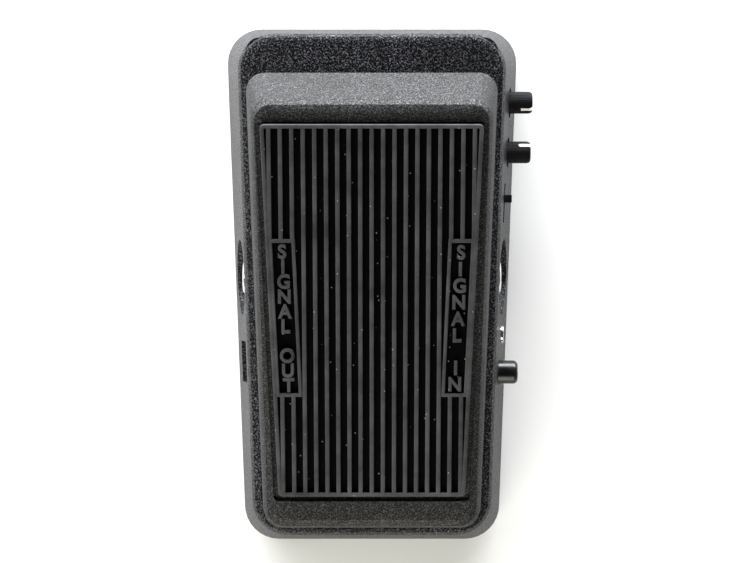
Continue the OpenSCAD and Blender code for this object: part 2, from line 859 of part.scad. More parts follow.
module rack_bracket() {
  flange_w = tread_under - bracket_boss_h;
  inner = rack_w / 2 + pass_gap;
  outer = inner + cheek_t;
  color(steel_grey)
    on_treadle()
      difference() {
        union() {
          box([-bracket_boss_x - 3, arm_v - cheek_half, flange_w - cheek_t],
            [bracket_boss_x + 3, arm_v + cheek_half, flange_w]);
          for (s = [-1, 1]) {
            x = s > 0 ? inner : -outer;
            box([x, arm_v - cheek_half, arm_w], [x + cheek_t, arm_v + cheek_half, flange_w - 0.5]);
            bar_x(x, arm_v, arm_w, cheek_half, cheek_t);
          }
        }
        bar_x(-outer - over, arm_v, arm_w, rack_pin_r + set_clear, 2 * (outer + over));
        for (s = [-1, 1])
          translate([s * bracket_boss_x, arm_v, flange_w - cheek_t - over])
            cylinder(r = arm_screw_r + set_clear, h = cheek_t + 2 * over);
      }
}

module rack_bracket_screws() {
  flange_w = tread_under - bracket_boss_h;
  color(nickel)
    on_treadle()
      for (s = [-1, 1])
        translate([s * bracket_boss_x, arm_v, flange_w - cheek_t]) {
          cylinder(r = arm_screw_r, h = cheek_t + bracket_boss_h);
          translate([0, 0, -arm_head_t])
            cylinder(r = arm_head_r, h = arm_head_t);
        }
}

module rack_pin() {
  outer = rack_w / 2 + pass_gap + cheek_t;
  color(nickel)
    on_treadle() {
      bar_x(-outer - 0.6, arm_v, arm_w, rack_pin_r, 2 * outer + 1.2);
      bar_x(outer, arm_v, arm_w, rack_pin_r + 0.7, 0.6);
      bar_x(-outer - 0.6, arm_v, arm_w, rack_pin_r + 0.7, 0.6);
    }
}

module rack_tooth(z) {
  // Half-width of the tooth at its pitch line, tip and root
  half = tooth_pitch / 4 - backlash / 4;
  tip = half - gear_module * 0.9 * tan(pressure_angle);
  root = half + tooth_root * tan(pressure_angle);
  profile_x(-rack_w / 2, rack_w)
    polygon([
      [rack_face_y + 0.3, z - root], [rack_face_y, z - root], [pitch_line_y - gear_module * 0.9, z - tip],
      [pitch_line_y - gear_module * 0.9, z + tip], [rack_face_y, z + root], [rack_face_y + 0.3, z + root]
    ]);
}

module rack() {
  first = ceil((rack_foot_z + tooth_pitch / 2 - pinion_z) / tooth_pitch - 0.5);
  last = floor((rack_teeth_top - pinion_z) / tooth_pitch - 0.5);
  color(nylon_white)
    difference() {
      union() {
        box([-rack_w / 2, rack_face_y, rack_foot_z], [rack_w / 2, rack_face_y + rack_d, rack_eye_z]);
        bar_x(-rack_w / 2, rack_y, rack_eye_z, eye_r, rack_w);
        for (k = [first : last])
          rack_tooth(pinion_z + (k + 0.5) * tooth_pitch);
      }
      bar_x(-rack_w / 2 - over, rack_y, rack_eye_z, rack_pin_r + eye_clear, rack_w + 2 * over);
    }
}

// Involute outline of the pinion, with one tooth pointing at the rack
function to_deg(r) = r * 180 / PI;
function involute(a) = tan(a) - a * PI / 180;
base_r = pitch_r * cos(pressure_angle);
tip_r = pitch_r + gear_module * 0.9;
root_r = pitch_r - tooth_root;
half_tooth = to_deg(PI / (2 * pinion_teeth) - backlash / (4 * pitch_r) + involute(pressure_angle));
function flank_angle(r) = half_tooth - to_deg(involute(acos(min(1, base_r / r))));
function polar(r, a) = [r * cos(a), r * sin(a)];
flank_steps = 5;
flank_r = [for (i = [0 : flank_steps]) base_r + (tip_r - base_r) * i / flank_steps];
function tooth_points(a) = concat(
  [polar(root_r, a - 180 / pinion_teeth), polar(root_r, a - flank_angle(base_r))],
  [for (i = [0 : flank_steps]) polar(flank_r[i], a - flank_angle(flank_r[i]))],
  [for (i = [flank_steps : -1 : 0]) polar(flank_r[i], a + flank_angle(flank_r[i]))],
  [polar(root_r, a + flank_angle(base_r))]
);

module pinion() {
  color(nylon_white)
    difference() {
      profile_x(-pinion_w / 2, pinion_w)
        translate([pinion_y, pinion_z])
          polygon([for (k = [0 : pinion_teeth - 1]) each tooth_points(k * 360 / pinion_teeth)]);
      bar_x(-pinion_w / 2 - over, pinion_y, pinion_z, pinion_bore_r + set_clear, pinion_w + 2 * over);
    }
}

module sweep_pot_shaft() {
  start = pot_front_x - pot_shaft_in;
  color(steel_grey)
    bar_x(start, pinion_y, pinion_z, pinion_bore_r, pinion_w / 2 + 0.5 - start);
}

module sweep_pot_body() {
  start = pot_front_x - pot_depth;
  color(steel_grey)
    difference() {
      union() {
        bar_x(start, pinion_y, pinion_z, sweep_pot_r, pot_depth);
        bar_x(start, pinion_y, pinion_z, pot_bushing_r, pot_depth + bracket_t + pot_nut_t + 0.8);
        box([start + 2, pinion_y - 5, pinion_z - sweep_pot_r - 1.6],
          [start + 8, pinion_y + 5, pinion_z - sweep_pot_r + 2]);
      }
      bar_x(pot_front_x - pot_shaft_in - 0.5, pinion_y, pinion_z, pinion_bore_r + run_clear,
        pot_depth + pot_shaft_in);
    }
}

module sweep_pot_nut() {
  color(nickel)
    difference() {
      translate([bracket_x, pinion_y, pinion_z])
        rotate([0, 90, 0])
          cylinder(r = pot_bushing_r + 2, h = pot_nut_t, $fn = 6);
      bar_x(bracket_x - over, pinion_y, pinion_z, pot_bushing_r + set_clear, pot_nut_t + 2 * over);
    }
}

module pot_bracket() {
  heel_edge = pinion_y - bracket_half;
  color(steel_grey)
    difference() {
      union() {
        box([pot_front_x, heel_edge, pinion_z - bracket_half],
          [bracket_x, pinion_y + bracket_half, bracket_pad_z]);
        box([pot_front_x, heel_edge, bracket_pad_z - bracket_t],
          [bracket_flange_x, heel_edge + bracket_flange_w, bracket_pad_z]);
      }
      bar_x(pot_front_x - over, pinion_y, pinion_z, pot_bushing_r + set_clear, bracket_t + 2 * over);
      for (x = bracket_screws_x)
        translate([x, bracket_screw_y, bracket_pad_z - bracket_t - over])
          cylinder(r = bracket_screw_r + set_clear, h = bracket_t + 2 * over);
    }
}

module bracket_screws() {
  color(nickel)
    for (x = bracket_screws_x)
      translate([x, bracket_screw_y, bracket_pad_z - bracket_t]) {
        cylinder(r = bracket_screw_r, h = bracket_screw_length - 0.3);
        translate([0, 0, -bracket_head_t])
          cylinder(r = bracket_head_r, h = bracket_head_t);
      }
}

module rack_guide() {
  inner = rack_w / 2 + guide_clear;
  color(nylon_white)
    difference() {
      box([-guide_half, rack_face_y + 1.2, guide_foot],
        [guide_half, guide_back_y + guide_t, guide_top]);
      box([-inner, rack_face_y - over, guide_foot - over], [inner, guide_back_y, guide_top + over]);
      for (z = guide_screw_z)
        translate([0, guide_back_y - over, z])
          rotate([-90, 0, 0]) {
            cylinder(r = guide_screw_r + set_clear, h = guide_t + 2 * over);
            cylinder(r = guide_head_r + set_clear, h = over + guide_head_t);
          }
    }
}

module guide_screws() {
  color(nickel)
    for (z = guide_screw_z)
      translate([0, guide_back_y + 0.1, z])
        rotate([-90, 0, 0]) {
          cylinder(r = guide_screw_r, h = guide_screw_length);
          cylinder(r = guide_head_r, h = guide_head_t - 0.1);
        }
}

// ---- Footswitch ----

module footswitch_body() {
  low = switch_body_top - switch_body_h;
  color("royalblue")
    difference() {
      box([-switch_body_half, switch_y - switch_body_half, low],
        [switch_body_half, switch_y + switch_body_half, switch_body_top]);
      translate([0, switch_y, plunger_foot - plunger_travel - 1])
        cylinder(r = switch_bushing_r + set_clear, h = switch_body_h);
    }
}

module footswitch_bushing() {
  foot = plunger_foot - plunger_travel - 0.6;
  color(nickel)
    difference() {
      translate([0, switch_y, foot])
        cylinder(r = switch_bushing_r, h = bushing_top - foot);
      translate([0, switch_y, foot + 0.3])
        cylinder(r = plunger_r + run_clear, h = bushing_top - foot);
    }
}

module footswitch_washer() {
  color(nickel)
    translate([0, switch_y, switch_seat_z])
      difference() {
        cylinder(r = washer_r, h = washer_t);
        translate([0, 0, -over])
          cylinder(r = switch_bushing_r + set_clear, h = washer_t + 2 * over);
      }
}

module footswitch_nut() {
  color(nickel)
    translate([0, switch_y, switch_seat_z + washer_t])
      difference() {
        cylinder(r = nut_r, h = nut_t, $fn = 6);
        translate([0, 0, -over])
          cylinder(r = switch_bushing_r + set_clear, h = nut_t + 2 * over);
      }
}

module footswitch_terminals() {
  low = switch_body_top - switch_body_h - terminal_h;
  color("gold")
    for (i = [-1 : 1], j = [-1 : 1])
      box([i * terminal_pitch - 1, switch_y + j * terminal_pitch - 0.4, low],
        [i * terminal_pitch + 1, switch_y + j * terminal_pitch + 0.4, low + terminal_h]);
}

module footswitch_plunger() {
  color(nickel)
    translate([0, switch_y, plunger_foot]) {
      cylinder(r = plunger_r, h = plunger_top - plunger_foot - 0.6);
      translate([0, 0, plunger_top - plunger_foot - 0.6])
        cylinder(r1 = plunger_r, r2 = plunger_r - 0.6, h = 0.6);
    }
}

// A ribbon of wires that hangs from one place to another in an S, w wide along X from x
module ribbon(x, w, y0, z0, y1, z1) {
  steps = 20;
  half = 0.5;
  line = [for (i = [0 : steps]) [y0 + (y1 - y0) * (1 - cos(180 * i / steps)) / 2,
    z0 + (z1 - z0) * i / steps]];
  profile_x(x, w)
    polygon(concat(
      [for (i = [0 : steps]) line[i] + [half, 0]],
      [for (i = [steps : -1 : 0]) line[i] - [half, 0]]));
}

module footswitch_ribbon() {
  low = switch_body_top - switch_body_h - terminal_h;
  color("dimgray")
    ribbon(-5, 10, switch_y, low, switch_y - 9, board_top);
}

module sweep_pot_ribbon() {
  start = pot_front_x - pot_depth + 2.5;
  color("dimgray")
    ribbon(start, 5, pinion_y, pinion_z - sweep_pot_r - 1.6, pinion_y - 4, board_top);
}

// ---- Circuit board ----

module main_board() {
  inset = wall + board_edge_gap + wall_draft * board_top;
  color(board_green)
    difference() {
      translate([0, 0, board_z])
        tapered_slab(-board_reach, board_reach, body_width / 2 - inset, body_taper, 2, board_t);
      for (s = [-1, 1], y = board_post_ends)
        translate([s * board_post_x, y, board_z - over])
          cylinder(r = board_screw_r + set_clear, h = board_t + 2 * over);
    }
}

module board_screws() {
  color(nickel)
    for (s = [-1, 1], y = board_post_ends)
      translate([s * board_post_x, y, board_z]) {
        cylinder(r = board_screw_r, h = board_t + board_screw_length - 0.5);
        translate([0, 0, -board_head_t])
          cylinder(r = board_head_r, h = board_head_t);
      }
}

module inductor() {
  color("firebrick")
    translate([-12, -40, board_top])
      difference() {
        cylinder(r = 7, h = 9);
        translate([0, 0, 8])
          cylinder(r = 2, h = 2);
      }
}

module electrolytic_capacitors() {
  color("midnightblue")
    for (p = [[4, -32], [13, -32], [4, -44], [13, -44], [-4, -20]])
      translate([p[0], p[1], board_top])
        cylinder(r = 3.15, h = 10);
}

module film_capacitors() {
  color("firebrick")
    for (p = [[22, 46], [22, 38], [22, 30], [-24, 42], [-24, 34], [19, -26], [19, -36]])
      translate([p[0] - 1.25, p[1] - 3.6, board_top])
        cube([2.5, 7.2, 6.5]);
}

module resistors() {
  color("tan")
    for (i = [0 : 4], s = [-1, 1])
      translate([s * 26 - 3.1, -52 + 3.8 * i + (s > 0 ? 1 : 0), board_top + 1.2])
        rotate([0, 90, 0])
          cylinder(r = 1.15, h = 6.2);
}

module transistors() {
  color("black")
    for (p = [[wall - 19.5, -24], [-25, -13], [14, -20]])
      translate([p[0], p[1], board_top + 1.5])
        difference() {
          cylinder(r = 2.3, h = 4.6);
          translate([-3, 1.3, -over])
            cube([6, 3, 4.6 + 2 * over]);
        }
}

// ---- Jacks and power socket, drawn for the right-hand wall and mirrored for the left ----

function jack_front(y) = wall_inner(y - jack_body_half, jack_z + jack_body_over) - 0.3;

module jack_body(y) {
  front = jack_front(y);
  color(plastic_black)
    difference() {
      box([front - jack_body_d, y - jack_body_half, board_top],
        [front, y + jack_body_half, jack_z + jack_body_over]);
      bar_x(front - jack_plug_depth, y, jack_z, jack_bore_r + 0.2, jack_plug_depth);
      bar_x(front - jack_sleeve_in, y, jack_z, jack_sleeve_r + set_clear, jack_sleeve_in + over);
      box([front - jack_plug_depth, y - 1.6, jack_z - 5.6],
        [front - jack_sleeve_in - 1, y + 1.6, jack_z + 5.6]);
    }
}

module jack_bushing(y) {
  front = jack_front(y);
  mouth = side_x(y, jack_z) - jack_recess;
  color(nickel)
    difference() {
      union() {
        bar_x(front - jack_sleeve_in, y, jack_z, jack_sleeve_r, mouth - front + jack_sleeve_in);
        bar_x(front, y, jack_z, jack_nut_r, jack_nut_t);
      }
      bar_x(front - jack_sleeve_in - over, y, jack_z, jack_bore_r, mouth - front + jack_sleeve_in + 2 * over);
    }
}

module jack_contacts(y) {
  front = jack_front(y);
  color("gold")
    for (s = [-1, 1]) {
      z = jack_z + s * 4.6;
      box([front - jack_plug_depth, y - 1.2, z - 0.25], [front - jack_sleeve_in - 1.4, y + 1.2, z + 0.25]);
      box([front - jack_plug_depth + 3, y - 1.2, z - 0.9], [front - jack_plug_depth + 4.4, y + 1.2, z + 0.9]);
    }
}

module input_jack_body() {
  jack_body(input_y);
}

module input_jack_bushing() {
  jack_bushing(input_y);
}

module input_jack_contacts() {
  jack_contacts(input_y);
}

module output_jack_body() {
  mirror([1, 0, 0])
    jack_body(output_y);
}

module output_jack_bushing() {
  mirror([1, 0, 0])
    jack_bushing(output_y);
}

module output_jack_contacts() {
  mirror([1, 0, 0])
    jack_contacts(output_y);
}

power_front = side_x(power_y, power_z) - 0.9;
power_shoulder = wall_inner(power_y - power_body_half, power_z + power_body_over) - 0.3;

module power_socket_body() {
  color(plastic_black)
    mirror([1, 0, 0])
      difference() {
        union() {
          box([power_shoulder - power_body_d, power_y - power_body_half, board_top],
            [power_shoulder, power_y + power_body_half, power_z + power_body_over]);
          box([power_shoulder - over, power_y - power_body_half, power_z - power_nose_half],
            [power_front, power_y + power_body_half, power_z + power_nose_half]);
        }
        bar_x(power_front - power_depth, power_y, power_z, power_bore_r, power_depth + over);
        bar_x(power_front - power_depth - power_root, power_y, power_z, power_root_r + set_clear,
          power_root + over);
      }
}

module power_socket_pin() {
  color(nickel)
    mirror([1, 0, 0]) {
      bar_x(power_front - power_depth - power_root, power_y, power_z, power_root_r, power_root);
      bar_x(power_front - power_depth, power_y, power_z, power_pin_r, power_depth - 1);
    }
}

// ---- Controls ----

module pot_body(y) {
  front = pot_front(y);
  color(plastic_black)
    difference() {
      box([front - pot_body_d, y - pot_body_w / 2, board_top],
        [front, y + pot_body_w / 2, control_z + pot_body_over]);
      bar_x(front - knob_shaft_in - 0.3, y, control_z, knob_shaft_r + run_clear, knob_shaft_in + over);
    }
}

function pot_front(y) = wall_inner(y - pot_body_w / 2, control_z + pot_body_over) - pot_gap;
function knob_tip(y) = side_x(y, control_z) + knob_reach;

// The white line inlaid along the knob's end, turned to its angle
module pointer_bar(y, angle, grow) {
  tip = knob_tip(y);
  translate([0, y, control_z])
    rotate([angle, 0, 0])
      intersection() {
        union() {
          box([tip - pointer_length, -pointer_w / 2 - grow, knob_r - pointer_t - grow],
            [tip + grow, pointer_w / 2 + grow, knob_r + over]);
          box([tip - pointer_t - grow, -pointer_w / 2 - grow, 0],
            [tip + grow, pointer_w / 2 + grow, knob_r + over]);
        }
        bar_x(tip - 2 * pointer_length, 0, 0, knob_r + grow, 3 * pointer_length);
      }
}

module knob(y, angle) {
  tip = knob_tip(y);
  front = pot_front(y);
  color(plastic_black)
    difference() {
      union() {
        bar_x(front - knob_shaft_in, y, control_z, knob_shaft_r, knob_shaft_in + over);
        bar_x(front + pass_gap, y, control_z, knob_r, tip - front - pass_gap);
      }
      pointer_bar(y, angle, 0.02);
    }
}

module volume_pot_body() {
  pot_body(volume_y);
}

module q_pot_body() {
  pot_body(q_y);
}

module volume_knob() {
  knob(volume_y, volume_angle);
}

module q_knob() {
  knob(q_y, q_angle);
}

module volume_pointer() {
  color("white")
    pointer_bar(volume_y, volume_angle, 0);
}

module q_pointer() {
  color("white")
    pointer_bar(q_y, q_angle, 0);
}

range_front = wall_inner(range_y - range_body_half, range_z + range_body_h / 2) - 0.3;

module range_switch_body() {
  color(steel_grey)
    difference() {
      union() {
        box([range_front - range_body_d, range_y - range_body_half, range_z - range_body_h / 2],
          [range_front, range_y + range_body_half, range_z + range_body_h / 2]);
        box([range_front - range_body_d, range_y - range_body_half + 1, board_top],
          [range_front - range_body_d + 1.2, range_y + range_body_half - 1, range_z]);
      }
      box([range_front - range_body_d + 1, range_y - range_cavity_half, range_z - range_wiper_t / 2 - 0.2],
        [range_front - 0.8, range_y + range_cavity_half, range_z + range_wiper_t / 2 + 0.2]);
      box([range_front - 2, range_y - range_slot_w / 2, range_z - range_handle_h / 2 - 0.2],
        [range_front + over, range_y + range_slot_w / 2, range_z + range_handle_h / 2 + 0.2]);
    }
}

module range_slider() {
  tip = side_x(range_rest, range_z) + range_reach;
  color(plastic_black) {
    box([range_front - range_body_d + 1.3, range_rest - range_wiper_half, range_z - range_wiper_t / 2],
      [range_front - 1.1, range_rest + range_wiper_half, range_z + range_wiper_t / 2]);
    box([range_front - 1.2, range_rest - range_handle_w / 2, range_z - range_wiper_t / 2],
      [range_front, range_rest + range_handle_w / 2, range_z + range_wiper_t / 2]);
    box([range_front - eps, range_rest - range_handle_w / 2, range_z - range_handle_h / 2],
      [tip, range_rest + range_handle_w / 2, range_z + range_handle_h / 2]);
  }
}

boost_front = side_x(boost_y, control_z) - wall - 1.2;
boost_cap_in = boost_front + boost_travel + 0.2;

module boost_switch_body() {
  color(plastic_black)
    difference() {
      box([boost_front - boost_body_d, boost_y - boost_body_half, board_top],
        [boost_front, boost_y + boost_body_half, control_z + boost_body_over]);
      bar_x(boost_front - boost_body_d + 0.8, boost_y, control_z, boost_stem_r + run_clear, boost_body_d);
    }
}

module boost_button() {
  tip = side_x(boost_y, control_z) + boost_reach;
  stem_in = boost_body_d - 0.8 - boost_travel - 0.3;
  stem_length = boost_cap_in - boost_front + stem_in + eps;
  color(plastic_black) {
    bar_x(boost_front - stem_in, boost_y, control_z, boost_stem_r, stem_length);
    bar_x(boost_cap_in, boost_y, control_z, boost_r, tip - boost_cap_in - 0.6);
    translate([tip - 0.6, boost_y, control_z])
      rotate([0, 90, 0])
        cylinder(r1 = boost_r, r2 = boost_r - 0.6, h = 0.6);
  }
}

module light_bezel() {
  face = side_x(led_y, led_z);
  color(nickel)
    difference() {
      union() {
        bar_x(face - bezel_sink, led_y, led_z, bezel_r, bezel_sink + 0.4);
        bar_x(face - bezel_depth, led_y, led_z, bezel_body_r, bezel_depth - bezel_sink + eps);
      }
      bar_x(face - bezel_depth - over, led_y, led_z, light_r + set_clear, bezel_depth + 3 * over);
    }
}

module indicator_light() {
  face = side_x(led_y, led_z);
  back = face - bezel_depth - 1;
  leg_x = back - 1.6;
  color("whitesmoke") {
    bar_x(back, led_y, led_z, light_r, face - back - 1);
    translate([face - 1, led_y, led_z])
      sphere(r = light_r);
    bar_x(back, led_y, led_z, light_r + 0.4, 0.8);
    for (s = [-1, 1]) {
      box([leg_x, led_y + s * 0.8 - 0.25, led_z - 0.25], [back + 0.2, led_y + s * 0.8 + 0.25, led_z + 0.25]);
      box([leg_x, led_y + s * 0.8 - 0.25, board_top], [leg_x + 0.5, led_y + s * 0.8 + 0.25, led_z]);
    }
  }
}

housing();
base_plate();
rubber_feet();
base_screws();
pivot_axle();
axle_clips();
heel_bumpers();
footswitch_body();
footswitch_bushing();
footswitch_washer();
footswitch_nut();
footswitch_terminals();
main_board();
board_screws();
input_jack_body();
input_jack_bushing();
input_jack_contacts();
output_jack_body();
output_jack_bushing();
output_jack_contacts();
power_socket_body();
power_socket_pin();
volume_pot_body();
q_pot_body();
range_switch_body();
boost_switch_body();
indicator_light();
light_bezel();
sweep_pot_body();
sweep_pot_nut();
pot_bracket();
bracket_screws();
rack_guide();
guide_screws();
inductor();
electrolytic_capacitors();
film_capacitors();
resistors();
transistors();
footswitch_ribbon();
sweep_pot_ribbon();
treadle();
rubber_pad();
toe_pad();
lug_bushings();
rack_bracket();
rack_bracket_screws();
rack_pin();
rack();
pinion();
sweep_pot_shaft();
footswitch_plunger();
volume_knob();
volume_pointer();
q_knob();
q_pointer();
range_slider();
boost_button();
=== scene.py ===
import json
import math

import bmesh
import bpy
from bpy.props import (
    FloatProperty, FloatVectorProperty, IntProperty, PointerProperty, StringProperty,
)
from mathutils import Matrix, Vector

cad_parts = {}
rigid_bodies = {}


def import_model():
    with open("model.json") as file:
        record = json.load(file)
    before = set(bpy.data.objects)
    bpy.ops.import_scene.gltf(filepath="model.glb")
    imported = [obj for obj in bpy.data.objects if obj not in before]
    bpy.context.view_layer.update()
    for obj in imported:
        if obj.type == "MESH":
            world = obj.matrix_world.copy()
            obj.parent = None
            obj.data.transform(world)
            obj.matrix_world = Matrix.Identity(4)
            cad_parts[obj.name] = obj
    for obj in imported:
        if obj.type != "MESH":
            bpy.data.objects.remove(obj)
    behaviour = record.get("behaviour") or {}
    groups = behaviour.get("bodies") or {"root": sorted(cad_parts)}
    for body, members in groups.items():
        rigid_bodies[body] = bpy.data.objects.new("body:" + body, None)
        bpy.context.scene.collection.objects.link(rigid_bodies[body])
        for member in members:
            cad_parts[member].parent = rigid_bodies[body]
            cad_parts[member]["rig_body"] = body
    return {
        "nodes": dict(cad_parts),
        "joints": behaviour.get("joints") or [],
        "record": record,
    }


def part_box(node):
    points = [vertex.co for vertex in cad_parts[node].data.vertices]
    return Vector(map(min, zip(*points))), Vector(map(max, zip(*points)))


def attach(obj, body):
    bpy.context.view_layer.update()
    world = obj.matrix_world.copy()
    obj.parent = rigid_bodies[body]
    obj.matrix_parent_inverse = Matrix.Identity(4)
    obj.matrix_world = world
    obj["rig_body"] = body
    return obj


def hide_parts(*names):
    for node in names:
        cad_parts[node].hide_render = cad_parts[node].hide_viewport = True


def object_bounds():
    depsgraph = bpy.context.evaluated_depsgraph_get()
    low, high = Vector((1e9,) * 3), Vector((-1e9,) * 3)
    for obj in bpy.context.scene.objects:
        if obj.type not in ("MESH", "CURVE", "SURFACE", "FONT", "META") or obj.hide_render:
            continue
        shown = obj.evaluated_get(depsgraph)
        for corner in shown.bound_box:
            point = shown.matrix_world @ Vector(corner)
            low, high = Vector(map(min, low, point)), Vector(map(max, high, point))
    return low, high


bl_info = {
    "name": "Rocker pedal",
    "version": (1, 0, 0),
    "blender": (4, 5, 0),
    "location": "3D View > Sidebar > Rocker pedal",
    "description": "Dresses the packed frame of a rocker effects pedal with its finished pieces",
    "category": "Add Mesh",
}

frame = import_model()
CAD_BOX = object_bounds()
AXLE = Vector(next(j["pos_m"] for j in frame["joints"] if j["name"] == "treadle_tilt"))
MM = 0.001
# Points closer than this are taken for the same point
SAME = 0.001 * MM


# ---- Sizes and colours that a user would change ----


def length(name, description, millimetres):
    """One length property, written in millimetres and held in metres."""
    return FloatProperty(
        name=name, description=description, default=millimetres * MM, unit="LENGTH", precision=5
    )


def tint(name, description, code):
    """One colour property from an sRGB hex code."""
    return FloatVectorProperty(
        name=name, description=description, default=linear(code)[:3], subtype="COLOR", min=0, max=1
    )


def power(name, description, watts):
    """One light's power property."""
    return FloatProperty(name=name, description=description, default=watts, unit="POWER")


def linear(code):
    """Linear red, green, blue and alpha of an sRGB hex code."""
    channels = [int(code[i:i + 2], 16) / 255 for i in (0, 2, 4)]
    return [c / 12.92 if c <= 0.04045 else ((c + 0.055) / 1.055) ** 2.4 for c in channels] + [1.0]


class CastingSizes(bpy.types.PropertyGroup):
    """Edges of the two castings."""

    rim: length("Rim rounding", "Rounding of the cast edges and hole rims", 0.35)
    grain: length("Wrinkle grain", "Size of one wrinkle of the powder coat", 0.42)
    rest_tilt: FloatProperty(
        name="Rest tilt", description="Slope of the treadle at rest", default=math.radians(15),
        subtype="ANGLE",
    )


class PadSizes(bpy.types.PropertyGroup):
    """The ribbed rubber pad."""

    taper: FloatProperty(
        name="Side slant", description="How fast each side leans out towards the toe",
        default=0.03845, precision=5,
    )
    border: length("Border width", "Width of the raised border", 1.1)
    web: length("Web thickness", "Rubber under the ribs", 1.2)
    rib: length("Rib width", "Width of one rib", 1.2)
    pitch: length("Rib pitch", "Distance between the middles of two ribs", 3.11)
    rounding: length("Rib rounding", "Rounding of the ribs' top edges", 0.2)
    panel_toe: length(
        "Panel toe end", "Toe end of the lettered panels, along the pad from the axle", 17.8
    )
    panel_length: length("Panel length", "Length of the lettered panels along the pad", 45.2)
    panel_width: length("Panel width", "Width of the lettered panels", 7.0)
    letter: length("Letter height", "Height of the raised letters", 3.9)
    left_word: StringProperty(
        name="Left word", description="Raised letters on the player's left", default="SIGNAL OUT"
    )
    right_word: StringProperty(
        name="Right word", description="Raised letters on the player's right", default="SIGNAL IN"
    )


class ControlSizes(bpy.types.PropertyGroup):
    """Knobs, button, slider and light."""

    knurls: IntProperty(
        name="Knurls", description="Ridges round each knob", default=40, min=12, max=90
    )
    knurl_depth: length("Knurl depth", "Depth of the grooves between ridges", 0.12)
    knob_rounding: length("Knob rounding", "Rounding of each knob's tip", 0.8)
    button_rounding: length("Button rounding", "Rounding of the boost button's tip", 1.3)
    nut_chamfer: length("Nut chamfer", "Chamfer of the hexagon nuts", 0.4)


class Colours(bpy.types.PropertyGroup):
    """Colours of the finishes."""

    coat_low: tint("Coat hollows", "Powder coat between its wrinkles", "080808")
    coat_high: tint("Coat ridges", "Powder coat on its wrinkles", "505054")
    rubber: tint("Rubber", "Moulded rubber", "3C3C3F")
    nickel: tint("Nickel", "Bright nickel plating", "DEDDDA")
    zinc: tint("Zinc", "Zinc plated steel", "A9ABAD")
    plastic: tint("Plastic", "Moulded black plastic", "0F0F10")
    board: tint("Board", "Solder mask of the circuit board", "1F5A34")


class StageSizes(bpy.types.PropertyGroup):
    """Camera, floor and lights."""

    camera_height: length("Camera height", "Height of the camera over the origin", 747.0)
    camera_lens: FloatProperty(
        name="Focal length", description="Focal length of the camera", default=120.0,
        unit="CAMERA",
    )
    floor_size: length("Floor size", "Side of the square floor", 4000.0)
    key: power("Key light", "Power of the key light", 6.6)
    toe: power("Toe light", "Power of the light past the toe end", 165.0)
    heel: power("Heel light", "Power of the light past the heel end", 30.0)
    fill: power("Fill light", "Power of the light on the controls' side", 0.45)
    room: FloatProperty(
        name="Room light", description="Brightness of the room round the stage", default=0.04
    )


# ---- Making pieces ----


def tread_frame():
    """Matrix from the treadle's axes to the frame: origin at the axle, Z out of its top."""
    tilt = bpy.context.scene.pedal_castings.rest_tilt
    return Matrix.Translation(AXLE) @ Matrix.Rotation(tilt, 4, "X")


def tread_box(node):
    """Lowest and highest corners of a CAD node in the treadle's own axes."""
    back = tread_frame().inverted()
    points = [back @ v.co for v in frame["nodes"][node].data.vertices]
    return (
        Vector([min(p[i] for p in points) for i in range(3)]),
        Vector([max(p[i] for p in points) for i in range(3)]),
    )


def block(bm, low, high):
    """Add a box between two corners and return its vertices."""
    low, high = Vector(low), Vector(high)
    place = Matrix.Translation((low + high) / 2) @ Matrix.Diagonal((*(high - low), 1))
    return bmesh.ops.create_cube(bm, size=1, matrix=place)["verts"]


def edges_of(verts, test):
    """Edges that join the given vertices and pass the test."""
    chosen = set(verts)
    return [
        e for e in {e for v in verts for e in v.link_edges}
        if e.verts[0] in chosen and e.verts[1] in chosen and test(e)
    ]


def round_edges(bm, edges, radius, segments=3):
    """Round edges to a radius."""
    return bmesh.ops.bevel(
        bm, geom=edges, offset=radius, offset_type="OFFSET", segments=segments, profile=0.5,
        affect="EDGES", clamp_overlap=True, material=-1,
    )


def along(e, axis, least=0.9):
    """Whether an edge runs along an axis."""
    way = e.verts[1].co - e.verts[0].co
    return way.length > 0 and abs(way.normalized().dot(Vector(axis))) > least


def turned(bm, profile, centre, axis, steps=48):
    """Spin a profile of (distance along the axis, radius) pairs round the axis through centre."""
    axis = Vector(axis).normalized()
    side = axis.orthogonal().normalized()
    centre = Vector(centre)
    verts = [bm.verts.new(centre + axis * d + side * r) for d, r in profile]
    edges = [bm.edges.new(pair) for pair in zip(verts, verts[1:])]
    bmesh.ops.spin(
        bm, geom=verts + edges, cent=centre, axis=axis, dvec=(0, 0, 0), angle=2 * math.pi,
        steps=steps, use_merge=True, use_duplicate=False,
    )


def round_node(node, axis=0):
    """The middle of a round CAD node's low end, its radius and its length, along X or Z."""
    low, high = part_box(node)
    size = high - low
    start = (low + high) / 2
    start[axis] = low[axis]
    return start, size[2 - axis] / 2, size[axis]


def arc(centre, radius, start, end, steps):
    """Points of an arc in a profile, with angles in degrees from the axis."""
    turns = [math.radians(start + (end - start) * i / steps) for i in range(steps + 1)]
    return [(centre[0] + radius * math.cos(t), centre[1] + radius * math.sin(t)) for t in turns]


def new_object(name, data):
    """A new object in the scene."""
    made = bpy.data.objects.new(name, data)
    bpy.context.scene.collection.objects.link(made)
    return made


def piece(bm, name, body, finish, nodes=(), sharp=38, outward=True):
    """Make a mesh a finished piece that rides on a body and stands for CAD nodes."""
    bmesh.ops.remove_doubles(bm, verts=bm.verts, dist=0.1 * SAME)
    if outward:
        bmesh.ops.recalc_face_normals(bm, faces=bm.faces)
    mesh = bpy.data.meshes.new(name)
    bm.to_mesh(mesh)
    bm.free()
    if not mesh.polygons:
        raise RuntimeError(f"{name} has no faces")
    made = new_object(name, mesh)
    mesh.materials.append(finish)
    mesh.shade_smooth()
    mesh.set_sharp_from_angle(angle=math.radians(sharp))
    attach(made, body)
    if nodes:
        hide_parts(*nodes)
    return made


